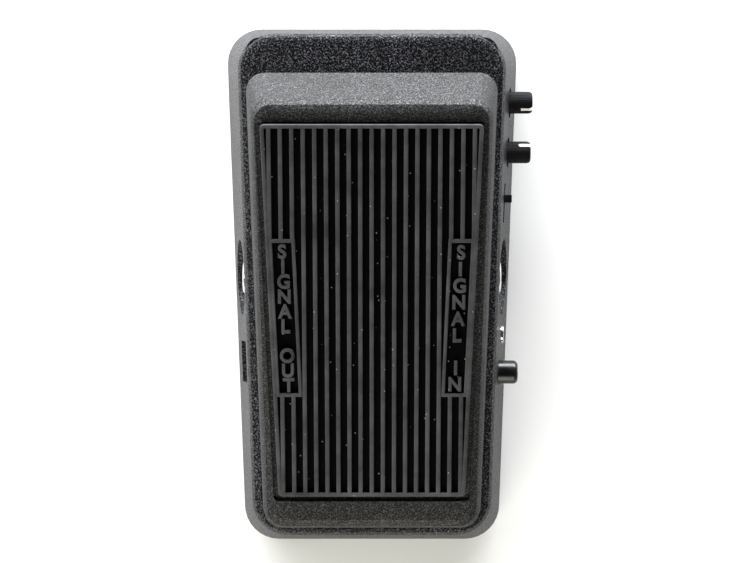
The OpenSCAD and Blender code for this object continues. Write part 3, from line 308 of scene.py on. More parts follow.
def stand_in(bm, name, node, finish=None, sharp=38, outward=True):
    """Make a mesh the finished piece for one CAD node, with its body, slot and slot's finish."""
    slot = slot_of(node)
    return piece(
        bm, name, frame["nodes"][node]["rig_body"], finish_for(finish or SLOT_FINISHES[slot]),
        [node], sharp, outward,
    )


def merged_copy(node):
    """A merged copy of a CAD node's mesh, with its flat faces made whole."""
    bm = bmesh.new()
    bm.from_mesh(frame["nodes"][node].data)
    bmesh.ops.remove_doubles(bm, verts=bm.verts, dist=SAME)
    bmesh.ops.dissolve_limit(
        bm, angle_limit=math.radians(0.3), use_dissolve_boundaries=False, verts=bm.verts,
        edges=bm.edges, delimit=set(),
    )
    return bm


def soften(made, width, segments=2, angle=32):
    """Round a piece's sharp edges with a Bevel modifier."""
    bevel = made.modifiers.new("Rounded edges", "BEVEL")
    bevel.width = width
    bevel.segments = segments
    bevel.limit_method = "ANGLE"
    bevel.angle_limit = math.radians(angle)
    bevel.use_clamp_overlap = True
    bevel.harden_normals = False
    flat = made.modifiers.new("Flat faces shaded flat", "WEIGHTED_NORMAL")
    flat.keep_sharp = True


def slot_of(node):
    """The record's material slot for a CAD node."""
    return next(p["material_slot"] for p in frame["record"]["subparts"] if p["node"] == node)


def dress(*nodes):
    """Give CAD nodes whose shape is right the finish of their slot."""
    for node in nodes:
        finish = finish_for(SLOT_FINISHES[slot_of(node)])
        data = frame["nodes"][node].data
        if not data.materials:
            data.materials.append(finish)
        for i in range(len(data.materials)):
            data.materials[i] = finish


def rounded_copies(*rows):
    """Replace CAD nodes with merged copies. A row is a node and its rounding in millimetres."""
    for node, width in rows:
        made = stand_in(merged_copy(node), f"{node}_rounded", node, sharp=30, outward=False)
        soften(made, width * MM)


# ---- Finishes ----


def add_node(tree, kind, settings=None, links=None):
    """Add one shader node. Settings are its properties or inputs, and links feed its inputs."""
    made = tree.nodes.new(f"ShaderNode{kind}")
    for name, value in (settings or {}).items():
        if isinstance(name, int) or name in made.inputs:
            made.inputs[name].default_value = value
        else:
            setattr(made, name, value)
    feed(tree, made, links or {})
    return made


def feed(tree, node, links):
    """Link sockets to a node's inputs."""
    for name, source in links.items():
        tree.links.new(source, node.inputs[name])


def new_finish(name, settings):
    """A new material with its shader's sockets set. Returns it, its node tree and its shader."""
    made = bpy.data.materials.new(name)
    made.use_nodes = True
    tree = made.node_tree
    shader = tree.nodes["Principled BSDF"]
    for socket, value in settings.items():
        shader.inputs[socket].default_value = value
    return made, tree, shader


def full(colour, share=1.0):
    """A colour property's value, or a share of it, with alpha."""
    return (*(c * share for c in colour), 1.0)


def wrinkled_coat(name, grain, low, high, share, roughness, depth, gloss, swell, matt):
    """Powder coat that wrinkled as it cured: dark hollows between small glossy ridges.

    The ridges catch the light as specks. Share is how much of the coat is ridge, depth how far the
    wrinkles stand out, swell how much further the broad swells do, and matt how much of the gloss
    the hollows keep.
    """
    made, tree, shader = new_finish(
        name, {"Roughness": roughness, "IOR": 1.5, "Specular IOR Level": gloss}
    )
    spot = add_node(tree, "TexCoord").outputs["Object"]
    # Each ridge is about one grain across, so a cell of the noise is one grain wide
    ridges = add_node(
        tree, "TexNoise",
        {"Scale": 1 / grain, "Detail": 2.0, "Roughness": 0.55, "Distortion": 0.9},
        {"Vector": spot},
    ).outputs["Fac"]
    # Worms of lacquer, about one and a half grains apart
    worms = add_node(
        tree, "TexVoronoi",
        {"feature": "SMOOTH_F1", "Scale": 0.72 / grain, "Smoothness": 0.25, "Randomness": 1.0},
        {"Vector": spot},
    ).outputs["Distance"]
    # Slow change over about 25 mm, as the coat lies thicker in places
    drift = add_node(
        tree, "TexNoise", {"Scale": 1 / (25 * MM), "Detail": 2.0}, {"Vector": spot}
    ).outputs["Fac"]
    crest = add_node(
        tree, "MapRange",
        {"interpolation_type": "SMOOTHSTEP", "From Min": 0.62 - share, "From Max": 0.80 - share},
        {"Value": ridges},
    ).outputs["Result"]
    speck = add_node(tree, "Math", {"operation": "MULTIPLY"}, {0: crest, 1: worms}).outputs[0]
    gain = add_node(
        tree, "MapRange", {"From Min": 0.05, "From Max": 0.42}, {"Value": speck}
    ).outputs["Result"]
    vary = add_node(
        tree, "MapRange", {"From Min": 0.3, "From Max": 0.7, "To Min": 0.7, "To Max": 1.0},
        {"Value": drift},
    ).outputs["Result"]
    amount = add_node(tree, "Math", {"operation": "MULTIPLY"}, {0: gain, 1: vary}).outputs[0]
    colour = add_node(
        tree, "Mix", {"data_type": "RGBA", 6: full(low), 7: full(high)}, {0: amount}
    ).outputs[2]
    fine = add_node(tree, "Math", {"operation": "ADD"}, {0: ridges, 1: worms}).outputs[0]
    # Leathery swells about 1.3 mm across, under the wrinkles
    broad = add_node(
        tree, "TexNoise", {"Scale": 1 / (1.3 * MM), "Detail": 2.0, "Distortion": 0.4},
        {"Vector": spot},
    ).outputs["Fac"]
    height = add_node(
        tree, "Math", {"operation": "MULTIPLY_ADD", 1: swell}, {0: broad, 2: fine}
    ).outputs[0]
    bump = add_node(
        tree, "Bump", {"Strength": 0.9, "Distance": depth}, {"Height": height}
    ).outputs["Normal"]
    # Ridges cure glossy and hollows stay matt
    sheen = add_node(
        tree, "MapRange", {"To Min": matt * gloss, "To Max": 1.3 * gloss}, {"Value": amount}
    ).outputs["Result"]
    feed(tree, shader, {"Base Color": colour, "Specular IOR Level": sheen, "Normal": bump})
    return made


def moulded_rubber(name, base, dust, worn=None):
    """Pressed black rubber: soft broad sheen, a faint mottle, and dust and lint in its pores.

    Worn is the pad's (matrix, low, high) in the treadle's axes, between which it turns from the
    dark of the grooves to the grey of tops that soles rub.
    """
    made, tree, shader = new_finish(
        name, {"Roughness": 0.56, "IOR": 1.52, "Specular IOR Level": 0.08}
    )
    spot = add_node(tree, "TexCoord").outputs["Object"]
    # Mould grain of about 0.5 mm, drawn as coarse as it needs to show
    grain = add_node(
        tree, "TexNoise", {"Scale": 1 / (0.5 * MM), "Detail": 3.0}, {"Vector": spot}
    ).outputs["Fac"]
    # Wear from shoe soles, in patches of about 9 mm
    wear = add_node(
        tree, "TexNoise", {"Scale": 1 / (9 * MM), "Detail": 4.0, "Roughness": 0.65},
        {"Vector": spot},
    ).outputs["Fac"]
    # Lint specks about 0.35 mm wide and 2 mm apart
    lint = add_node(
        tree, "TexVoronoi", {"feature": "F1", "Scale": 1 / (2.2 * MM), "Randomness": 1.0},
        {"Vector": spot},
    )
    near = add_node(
        tree, "MapRange", {"From Min": 0.10, "From Max": 0.05}, {"Value": lint.outputs["Distance"]}
    ).outputs["Result"]
    rare = add_node(
        tree, "SeparateColor", {"mode": "RGB"}, {"Color": lint.outputs["Color"]}
    ).outputs["Red"]
    few = add_node(tree, "Math", {"operation": "GREATER_THAN", 1: 0.55}, {0: rare}).outputs[0]
    speck = add_node(tree, "Math", {"operation": "MULTIPLY"}, {0: near, 1: few}).outputs[0]
    shade = add_node(
        tree, "MapRange", {"From Min": 0.3, "From Max": 0.72, "To Min": 0.0, "To Max": 1.0},
        {"Value": wear},
    ).outputs["Result"]
    base_mix = add_node(
        tree, "Mix", {"data_type": "RGBA", 6: full(base, 0.5), 7: full(base, 1.35)}, {0: shade}
    ).outputs[2]
    rubbed = base_mix
    if worn:
        # Light seldom gets down to the grooves and back, so they lose their sheen too
        matrix, low, high = worn
        turn = matrix.inverted()
        level = add_node(
            tree, "Mapping",
            {"vector_type": "POINT", "Location": turn.to_translation(),
             "Rotation": turn.to_euler()},
            {"Vector": spot},
        ).outputs["Vector"]
        parts = add_node(tree, "SeparateXYZ", None, {"Vector": level}).outputs["Z"]
        top = add_node(
            tree, "MapRange", {"From Min": low, "From Max": high}, {"Value": parts}
        ).outputs["Result"]
        rubbed = add_node(
            tree, "Mix", {"data_type": "RGBA", 6: full(base, 0.03)}, {0: top, 7: base_mix}
        ).outputs[2]
        sheen = add_node(
            tree, "MapRange", {"To Min": 0.01, "To Max": 0.08}, {"Value": top}
        ).outputs["Result"]
        feed(tree, shader, {"Specular IOR Level": sheen})
    dusty = add_node(
        tree, "Mix", {"data_type": "RGBA", 7: linear(dust)}, {0: speck, 6: rubbed}
    ).outputs[2]
    rough = add_node(
        tree, "MapRange", {"From Min": 0.3, "From Max": 0.7, "To Min": 0.48, "To Max": 0.66},
        {"Value": wear},
    ).outputs["Result"]
    bump = add_node(
        tree, "Bump", {"Strength": 0.5, "Distance": 0.06 * MM}, {"Height": grain}
    ).outputs["Normal"]
    feed(tree, shader, {"Base Color": dusty, "Roughness": rough, "Normal": bump})
    return made


def plated_metal(name, colour, roughness, scratch, depth):
    """Plated or drawn metal: a clear highlight, broken by fine draw lines and a slight haze."""
    made, tree, shader = new_finish(name, {"Metallic": 1.0, "Roughness": roughness})
    spot = add_node(tree, "TexCoord").outputs["Object"]
    # Draw lines a few tenths of a millimetre apart, ten times as long as wide
    stretch = add_node(
        tree, "Mapping", {"Scale": (0.1, 1.0, 1.0)}, {"Vector": spot}
    ).outputs["Vector"]
    lines = add_node(
        tree, "TexNoise", {"Scale": 1 / scratch, "Detail": 3.0}, {"Vector": stretch}
    ).outputs["Fac"]
    # Haze in patches of about 4 mm
    haze = add_node(
        tree, "TexNoise", {"Scale": 1 / (4 * MM), "Detail": 2.0}, {"Vector": spot}
    ).outputs["Fac"]
    tone = add_node(
        tree, "Mix", {"data_type": "RGBA", 6: full(colour, 0.78), 7: full(colour)}, {0: haze}
    ).outputs[2]
    rough = add_node(
        tree, "MapRange",
        {"From Min": 0.3, "From Max": 0.7, "To Min": roughness * 0.75, "To Max": roughness * 1.35},
        {"Value": lines},
    ).outputs["Result"]
    bump = add_node(
        tree, "Bump", {"Strength": 0.35, "Distance": depth}, {"Height": lines}
    ).outputs["Normal"]
    feed(tree, shader, {"Base Color": tone, "Roughness": rough, "Normal": bump})
    return made


def moulded_plastic(name, colour, roughness, grain, depth, coat=0.0, gloss=0.5):
    """Injection-moulded plastic: even colour, a light spark-eroded grain, slightly uneven gloss."""
    made, tree, shader = new_finish(
        name,
        {"Roughness": roughness, "IOR": 1.53, "Coat Weight": coat, "Coat Roughness": 0.04,
         "Specular IOR Level": gloss},
    )
    spot = add_node(tree, "TexCoord").outputs["Object"]
    fine = add_node(
        tree, "TexNoise", {"Scale": 1 / grain, "Detail": 2.0}, {"Vector": spot}
    ).outputs["Fac"]
    # Handling marks, in patches of about 3 mm
    marks = add_node(
        tree, "TexNoise", {"Scale": 1 / (3 * MM), "Detail": 4.0, "Roughness": 0.6}, {"Vector": spot}
    ).outputs["Fac"]
    tone = add_node(
        tree, "Mix",
        {"data_type": "RGBA", 6: full(colour, 0.85), 7: full(colour, 1.18)},
        {0: marks},
    ).outputs[2]
    rough = add_node(
        tree, "MapRange",
        {"From Min": 0.3, "From Max": 0.7, "To Min": roughness * 0.8, "To Max": roughness * 1.25},
        {"Value": marks},
    ).outputs["Result"]
    bump = add_node(
        tree, "Bump", {"Strength": 0.4, "Distance": depth}, {"Height": fine}
    ).outputs["Normal"]
    feed(tree, shader, {"Base Color": tone, "Roughness": rough, "Normal": bump})
    return made


def clear_lens(name):
    """Water-clear epoxy lens of a light-emitting diode: glassy and slightly milky inside."""
    made, tree, shader = new_finish(
        name, {"Roughness": 0.05, "IOR": 1.54, "Transmission Weight": 0.55, "Coat Weight": 0.4}
    )
    spot = add_node(tree, "TexCoord").outputs["Object"]
    cloud = add_node(
        tree, "TexNoise", {"Scale": 1 / (1.2 * MM), "Detail": 2.0}, {"Vector": spot}
    ).outputs["Fac"]
    tone = add_node(
        tree, "Mix", {"data_type": "RGBA", 6: linear("DDE0E2"), 7: linear("FFFFFF")}, {0: cloud}
    ).outputs[2]
    feed(tree, shader, {"Base Color": tone})
    return made


def solder_mask(name, colour):
    """Glass-fibre board under green solder mask: glossy, with its tracks as paler lines."""
    made, tree, shader = new_finish(name, {"Roughness": 0.3, "IOR": 1.5})
    spot = add_node(tree, "TexCoord").outputs["Object"]
    # Tracks about 2.5 mm apart
    tracks = add_node(
        tree, "TexBrick",
        {"Scale": 1 / (10 * MM), "Mortar Size": 0.035, "Mortar": full(colour, 1.9),
         "Color1": full(colour), "Color2": full(colour, 0.9)},
        {"Vector": spot},
    ).outputs["Color"]
    feed(tree, shader, {"Base Color": tracks})
    return made


def ribbed_ribbon(name):
    """Flat ribbon of grey wires, seen as soft stripes 2.54 mm apart along its run."""
    made, tree, shader = new_finish(name, {"Roughness": 0.45})
    spot = add_node(tree, "TexCoord").outputs["Object"]
    # The wave's own stripes lie pi / 10 apart
    stripes = math.pi / 10 / (2.54 * MM)
    wires = add_node(
        tree, "TexWave", {"Scale": stripes, "bands_direction": "X"}, {"Vector": spot}
    ).outputs["Fac"]
    tone = add_node(
        tree, "Mix", {"data_type": "RGBA", 6: linear("4E5052"), 7: linear("9A9C9E")}, {0: wires}
    ).outputs[2]
    bump = add_node(tree, "Bump", {"Distance": 0.3 * MM}, {"Height": wires}).outputs["Normal"]
    feed(tree, shader, {"Base Color": tone, "Normal": bump})
    return made


SLOT_FINISHES = {
    "crinkle_cast_aluminium": "chassis_coat", "zinc_steel": "zinc", "nickel": "nickel",
    "black_rubber": "bumper_rubber", "black_plastic": "plastic",
    "gloss_black_plastic": "gloss_plastic", "white_paint": "white_paint", "white_nylon": "nylon",
    "blue_plastic": "blue_plastic", "gold_plate": "gold", "green_board": "board",
    "red_casting": "red_casting", "navy_sleeve": "navy_sleeve", "tan_lacquer": "tan_lacquer",
    "grey_ribbon": "ribbon", "clear_lens": "lens",
}
# Name, colour, roughness, grain and its depth in metres, clear coat, gloss
PLASTICS = {
    "gloss_plastic": ("Polished black plastic", "0A0A0B", 0.3, 0.001, 0.000004, 0.0, 0.25),
    "nylon": ("Natural white nylon", "DEDBD0", 0.38, 0.0006, 0.00001),
    "white_paint": ("White filled pointer line", "F1F0EC", 0.5, 0.0003, 0.00002),
    "blue_plastic": ("Moulded blue phenolic", "1D4C9E", 0.4, 0.0004, 0.00001),
    "red_casting": ("Dipped red epoxy", "9C1F1A", 0.22, 0.0014, 0.00004, 0.4),
    "navy_sleeve": ("Shrunk navy sleeve", "1A2748", 0.3, 0.0012, 0.00001, 0.2),
    "tan_lacquer": ("Lacquered tan ceramic", "C7A36B", 0.35, 0.0008, 0.00001),
}
FINISHES = {}


def finish_for(name):
    """One finish, made when it is first asked for."""
    if name not in FINISHES:
        FINISHES[name] = made_finish(name)
    return FINISHES[name]


def made_finish(name):
    """Make the finish of a name in SLOT_FINISHES, or the treadle's or the pad's own."""
    colours = bpy.context.scene.pedal_colours
    grain = bpy.context.scene.pedal_castings.grain
    if name in PLASTICS:
        label, code, *values = PLASTICS[name]
        return moulded_plastic(label, linear(code)[:3], *values)
    if name == "chassis_coat":
        return wrinkled_coat(
            "Wrinkle powder coat on die-cast aluminium", grain, colours.coat_low,
            colours.coat_high, share=0.13, roughness=0.4, depth=0.12 * MM, gloss=0.25,
            swell=0.4, matt=0.25,
        )
    if name == "treadle_coat":
        return wrinkled_coat(
            "Fine wrinkle powder coat on die-cast aluminium", grain * 0.85, linear("080808")[:3],
            linear("232425")[:3], share=0.15, roughness=0.72, depth=0.03 * MM, gloss=0.62,
            swell=3.4, matt=0.26,
        )
    if name == "rubber":
        top = tread_box("rubber_pad")[1].z
        return moulded_rubber(
            "Pressed black rubber", colours.rubber, "8E8C86",
            (tread_frame(), top - 1.1 * MM, top - 0.3 * MM),
        )
    if name == "bumper_rubber":
        return moulded_rubber("Pressed soft black rubber", linear("262626")[:3], "5A5955")
    if name == "plastic":
        return moulded_plastic(
            "Spark-eroded black nylon", colours.plastic, 0.5, 0.4 * MM, 0.02 * MM, 0.0, 0.05
        )
    if name == "nickel":
        return plated_metal("Bright nickel plating", colours.nickel, 0.2, 0.4 * MM, 0.02 * MM)
    if name == "zinc":
        return plated_metal("Zinc plated steel sheet", colours.zinc, 0.36, 0.6 * MM, 0.03 * MM)
    if name == "gold":
        return plated_metal("Flash gold plating", linear("D9B066")[:3], 0.25, 0.4 * MM, 0.01 * MM)
    if name == "lens":
        return clear_lens("Water-clear epoxy lens")
    if name == "board":
        return solder_mask("Green solder mask on glass fibre", colours.board)
    if name == "ribbon":
        return ribbed_ribbon("Grey ribbon of wires")
    raise KeyError(name)


# ---- One operator for each piece or group of like pieces ----


class PEDAL_OT_housing(bpy.types.Operator):
    """Cast housing with its drafted walls, rounded rims, ears and openings."""

    bl_idname = "pedal.housing"
    bl_label = "Housing"

    def execute(self, context):
        made = stand_in(
            merged_copy("housing"), "housing_casting", "housing", sharp=30, outward=False
        )
        soften(made, context.scene.pedal_castings.rim)
        return {"FINISHED"}


class PEDAL_OT_treadle(bpy.types.Operator):
    """Cast treadle, an inverted pan with a deep skirt."""

    bl_idname = "pedal.treadle"
    bl_label = "Treadle"

    def execute(self, context):
        made = stand_in(
            merged_copy("treadle"), "treadle_casting", "treadle", "treadle_coat", 30, outward=False
        )
        soften(made, context.scene.pedal_castings.rim)
        return {"FINISHED"}


class PEDAL_OT_pad(bpy.types.Operator):
    """Rubber pad with its border, ribs, two framed panels and raised letters."""

    bl_idname = "pedal.pad"
    bl_label = "Rubber pad"

    def execute(self, context):
        sizes = context.scene.pedal_pad
        low, high = tread_box("rubber_pad")
        toe_half = high.x

        def half(v):
            return toe_half - sizes.taper * (high.y - v)

        def recess(bm, verts, width, depth):
            """Sink the inside of a slab's top face, which leaves a raised frame."""
            faces = {f for v in verts for f in v.link_faces}
            top = max(faces, key=lambda f: f.calc_center_median().z)
            bmesh.ops.inset_region(bm, faces=[top], thickness=width, use_even_offset=True)
            sunk = bmesh.ops.extrude_discrete_faces(bm, faces=[top])["faces"]
            verts = list({v for f in sunk for v in f.verts})
            bmesh.ops.translate(bm, verts=verts, vec=(0, 0, -depth))

        def crest(bm, height):
            """Edges at a height between a level face and a steep one."""
            return [
                e for e in bm.edges
                if all(abs(v.co.z - height) < SAME for v in e.verts) and len(e.link_faces) == 2
                and abs(e.link_faces[0].normal.z - e.link_faces[1].normal.z) > 0.5
            ]

        corner_radius, border_radius, frame_radius = 1.2 * MM, 0.25 * MM, 0.22 * MM
        # Ribs and panel frames run into the web and stay just under the border's top
        root, rib_drop, frame_drop = 0.1 * MM, 0.05 * MM, 0.04 * MM
        frame_bar, overlap = 1.0 * MM, 0.4 * MM
        depth = (high.z - low.z) - sizes.web
        bm = bmesh.new()
        slab = block(bm, (-1, low.y, low.z), (1, high.y, high.z))
        for v in slab:
            v.co.x = half(v.co.y) if v.co.x > 0 else -half(v.co.y)
        round_edges(bm, edges_of(slab, lambda e: along(e, (0, 0, 1))), corner_radius, 4)
        recess(bm, bm.verts[:], sizes.border, depth)
        round_edges(bm, crest(bm, high.z), border_radius, 2)

        def inner(v):
            return half(v) - sizes.border

        panel_low = sizes.panel_toe - sizes.panel_length
        floor = low.z + sizes.web

        def rib(x, v0, v1):
            verts = block(
                bm, (x - sizes.rib / 2, v0, floor - root),
                (x + sizes.rib / 2, v1, high.z - rib_drop),
            )
            top = [v for v in verts if v.co.z > floor]
            round_edges(bm, edges_of(top, lambda e: along(e, (0, 1, 0))), sizes.rounding, 3)

        count = int(inner(high.y) / sizes.pitch)
        for k in range(-count, count + 1):
            x = k * sizes.pitch
            edge = abs(x) + sizes.rib / 2
            meets = abs(x) - 0.1 * sizes.rib
            start = max(
                low.y + 0.5 * sizes.border,
                high.y - (toe_half - sizes.border - meets) / sizes.taper,
            )
            end = high.y - 0.5 * sizes.border
            if edge < inner(panel_low) - sizes.panel_width + sizes.rib:
                rib(x, start, end)
            else:
                if start < panel_low:
                    rib(x, start, panel_low + overlap)
                if max(start, sizes.panel_toe) < end:
                    rib(x, max(start, sizes.panel_toe - overlap), end)
        for s in (-1, 1):
            ring = bmesh.new()
            top = high.z - frame_drop
            for v in block(ring, (-1, panel_low, floor - root), (1, sizes.panel_toe, top)):
                edge = inner(v.co.y)
                outside, inside = edge + 0.3 * MM, edge - sizes.panel_width
                v.co.x = s * (outside if v.co.x * s > 0 else inside)
            recess(ring, ring.verts[:], frame_bar, depth - 0.05 * MM)
            round_edges(ring, crest(ring, top), frame_radius, 2)
            bmesh.ops.recalc_face_normals(ring, faces=ring.faces)
            spare = bpy.data.meshes.new("panel frame")
            ring.to_mesh(spare)
            ring.free()
            bm.from_mesh(spare)
            bpy.data.meshes.remove(spare)
            self.letters(context, bm, s, inner, high.z)
        bmesh.ops.transform(bm, matrix=tread_frame(), verts=bm.verts)
        stand_in(bm, "tread_pad", "rubber_pad", "rubber", sharp=35)
        return {"FINISHED"}

    def letters(self, context, bm, s, inner, top):
        """Upright letters stacked down one panel, centred between its slanted bars."""
        sizes = context.scene.pedal_pad
        word = sizes.right_word if s > 0 else sizes.left_word
        margin = 1.3 * MM
        widest = 4.2 * MM
        extrude, bevel = 0.5 * MM, 0.1 * MM
        # A capital of the built-in face is this share of its size
        capital = 0.72
        pitch = (sizes.panel_length - 2 * margin) / len(word)
        for i, letter in enumerate(word):
            if letter == " ":
                continue
            v = sizes.panel_toe - margin - pitch * (i + 0.5)
            x = s * (inner(v) - sizes.panel_width / 2 + 0.15 * MM)
            shape = bpy.data.curves.new("letter", "FONT")
            shape.body = letter
            shape.size = sizes.letter / capital
            shape.align_x = "CENTER"
            shape.align_y = "CENTER"
            shape.offset = 0.12 * MM
            shape.extrude = extrude
            shape.bevel_depth = bevel
            shape.bevel_resolution = 1
            holder = new_object("letter", shape)
            bpy.context.view_layer.update()
            shown = holder.evaluated_get(bpy.context.evaluated_depsgraph_get())
            mesh = bpy.data.meshes.new_from_object(shown)
            bpy.data.objects.remove(holder)
            bpy.data.curves.remove(shape)
            across = [p.co.x for p in mesh.vertices]
            upright = [p.co.y for p in mesh.vertices]
            middle = (max(across) + min(across)) / 2
            level = (max(upright) + min(upright)) / 2
            squeeze = min(0.92, widest / (max(across) - min(across)))
            mesh.transform(
                Matrix.Translation((x, v, top - extrude - bevel - 0.06 * MM))
                @ Matrix.Diagonal((squeeze, 1, 1, 1)) @ Matrix.Translation((-middle, -level, 0))
            )
            bm.from_mesh(mesh)
            bpy.data.meshes.remove(mesh)


class PEDAL_OT_knobs(bpy.types.Operator):
    """Volume and resonance knobs, knurled, with rounded tips."""

    bl_idname = "pedal.knobs"
    bl_label = "Knobs"

    def execute(self, context):
        sizes = context.scene.pedal_controls
        rounding = sizes.knob_rounding
        grip, shank_end, shank_radius, step = 9.6 * MM, 9.4 * MM, 2.0 * MM, 0.12 * MM
        for node in ("volume_knob", "q_knob"):
            tail, radius, whole = round_node(node)
            tip = tail.x + whole
            # Each knurl has four points, of which two sink
            bm = bmesh.new()
            start = bmesh.ops.create_circle(
                bm, segments=sizes.knurls * 4, radius=radius - 0.01 * MM,
                matrix=Matrix.Translation((tip - grip, tail.y, tail.z))
                @ Matrix.Rotation(math.pi / 2, 4, "Y"),
            )["verts"]

            def radial(v):
                return Vector((0, v.co.y - tail.y, v.co.z - tail.z))

            for i, v in enumerate(start):
                if i % 4 in (0, 1):
                    v.co -= radial(v).normalized() * sizes.knurl_depth
            loop = list({e for v in start for e in v.link_edges})
            bmesh.ops.contextual_create(bm, geom=loop)
            # Rings along the knob: the knurls end just short of the plain rounded tip
            rings = [(tip - rounding - 0.2 * MM, None)]
            for turn in (0, 20, 40, 60, 78, 90):
                t = math.radians(turn)
                share = (radius - rounding + rounding * math.cos(t)) / radius
                rings.append((tip - rounding + rounding * math.sin(t), share))
            for x, share in rings:
                made = bmesh.ops.extrude_edge_only(bm, edges=loop)["geom"]
                verts = [g for g in made if isinstance(g, bmesh.types.BMVert)]
                loop = [g for g in made if isinstance(g, bmesh.types.BMEdge)]
                for v in verts:
                    away = radial(v)
                    reach = away.length if share is None else (radius - step) * share
                    target = away.normalized() * reach
                    v.co = Vector((x, tail.y + target.y, tail.z + target.z))
            bmesh.ops.contextual_create(bm, geom=loop)
            # The plain shank that carries the knob on its shaft
            shank = whole - shank_end
            turned(
                bm, [(0, 0), (0, shank_radius), (shank, shank_radius), (shank, 0)], tail,
                (1, 0, 0), 32,
            )
            stand_in(bm, f"{node}_knurled", node, sharp=50)
        return {"FINISHED"}


class PEDAL_OT_boost_button(bpy.types.Operator):
    """Polished boost button with a rounded tip."""

    bl_idname = "pedal.boost_button"
    bl_label = "Boost button"

    def execute(self, context):
        tail, radius, reach = round_node("boost_button")
        rounding = context.scene.pedal_controls.button_rounding
        stem_radius, stem_end, chamfer = 1.8 * MM, 3.4 * MM, 0.2 * MM
        profile = [(0, 0), (0, stem_radius), (stem_end, stem_radius)]
        profile += [(stem_end, radius - chamfer), (stem_end + chamfer, radius)]
        profile += arc((reach - rounding, radius - rounding), rounding, 90, 12, 8)
        profile += [(reach - 0.0002 * MM, radius * 0.3), (reach, 0)]
        bm = bmesh.new()
        turned(bm, profile, tail, (1, 0, 0), 56)
        stand_in(bm, "boost_button_cap", "boost_button", sharp=40)
        return {"FINISHED"}


def hexagon_nut(bm, centre, axis, corner, hole, thick, chamfer, steps=48):
    """Add a hexagon nut with chamfered corners. It starts at centre and runs along the axis."""
    axis = Vector(axis).normalized()
    stand = Matrix.Translation(centre) @ axis.to_track_quat("Z", "Y").to_matrix().to_4x4()
    flat = corner * math.cos(math.pi / 6)
    # At both ends the corners are cut down to a circle just over the flats
    cut = flat * 1.01

    def loop(depth, limit):
        verts = bmesh.ops.create_circle(bm, segments=steps, radius=1)["verts"]
        for v in verts:
            angle = math.atan2(v.co.y, v.co.x)
            out = min(limit, flat / math.cos((angle % (math.pi / 3)) - math.pi / 6))
            v.co = stand @ Vector((*(v.co.xy.normalized() * out), depth))
        return list({e for v in verts for e in v.link_edges})

    loops = [
        loop(0, hole), loop(0, cut), loop(chamfer, corner), loop(thick - chamfer, corner),
        loop(thick, cut), loop(thick, hole),
    ]
    for one, two in zip(loops, loops[1:] + loops[:1]):
        bmesh.ops.bridge_loops(bm, edges=one + two)


def threads(start, end, radius, depth, pitch):
    """Profile points of a thread drawn as rings."""
    points = []
    for i in range(max(1, int((end - start) / pitch))):
        at = start + i * pitch
        points += [
            (at + 0.05 * pitch, radius - depth), (at + 0.4 * pitch, radius),
            (at + 0.65 * pitch, radius),
        ]
    return points


class PEDAL_OT_jacks(bpy.types.Operator):
    """Threaded jack sleeves with rounded mouths, and the hexagon nuts on them."""

    bl_idname = "pedal.jacks"
    bl_label = "Jacks"

    def execute(self, context):
        chamfer = context.scene.pedal_controls.nut_chamfer
        bores = {
            m["name"]: m["dims"]["r_mm"] * MM
            for m in frame["record"]["mounts"] if m["kind"] == "bore"
        }
        sleeve, nose, nut_thick, nut_gap = 4.9 * MM, 1.15 * MM, 2.0 * MM, 0.02 * MM
        root, thread_depth, thread_pitch = sleeve - 0.4 * MM, 0.22 * MM, 0.7 * MM
        for jack, way in (("input_jack", 1), ("output_jack", -1)):
            bore = bores[jack]
            low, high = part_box(f"{jack}_bushing")
            corner = (high.z - low.z) / 2
            body_low, body_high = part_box(f"{jack}_body")
            front = body_high.x if way > 0 else -body_low.x
            tail = low.x if way > 0 else -high.x
            mouth = high.x if way > 0 else -low.x
            centre = Vector((way * tail, (low.y + high.y) / 2, (low.z + high.z) / 2))
            reach, inside = mouth - tail, front - tail
            profile = [(0, bore), (0, root), (inside, root)]
            profile += threads(
                inside, reach - nose - 0.1 * MM, sleeve, thread_depth, thread_pitch
            )
            profile += arc((reach - nose, sleeve - nose), nose, 90, 0, 8)
            profile += [
                (reach - 0.1 * MM, bore + 0.35 * MM), (reach - 0.6 * MM, bore), (0, bore),
            ]
            bm = bmesh.new()
            turned(bm, profile, centre, (way, 0, 0), 64)
            hexagon_nut(
                bm, Vector((way * (front + nut_gap), centre.y, centre.z)), (way, 0, 0), corner,
                sleeve - 0.1 * MM, nut_thick, chamfer,
            )
            stand_in(bm, f"{jack}_sleeve", f"{jack}_bushing", sharp=32)
        return {"FINISHED"}


class PEDAL_OT_light(bpy.types.Operator):
    """Indicator light: bright bezel with a black cup behind it."""

    bl_idname = "pedal.light"
    bl_label = "Indicator light"

    def execute(self, context):
        tail, radius, reach = round_node("light_bezel")
        hole, neck, lip, rounding = 1.62 * MM, radius - 0.45 * MM, reach - 0.9 * MM, 0.3 * MM
        bm = bmesh.new()
        profile = [(0, hole), (0, neck), (lip, neck), (lip, radius)]
        profile += arc((reach - rounding, radius - rounding), rounding, 90, -20, 7)
        profile += [(reach - 0.5 * MM, radius - 0.62 * MM), (reach - 0.6 * MM, hole), (0, hole)]
        turned(bm, profile, tail, (1, 0, 0))
        stand_in(bm, "light_bezel_ring", "light_bezel", sharp=40)

        # The cup lies just inside the bezel and just behind its slope
        cup = [
            (reach - 1.9 * MM, 1.52 * MM), (reach - 0.62 * MM, 2.0 * MM),
            (reach - 0.5 * MM, radius - 0.68 * MM), (reach - 0.65 * MM, radius - 0.66 * MM),
            (reach - 2.0 * MM, 1.6 * MM), (reach - 1.9 * MM, 1.52 * MM),
        ]
        bm = bmesh.new()
        turned(bm, cup, tail, (1, 0, 0))
        piece(bm, "light_cup", "base", finish_for("plastic"), sharp=40)
        return {"FINISHED"}


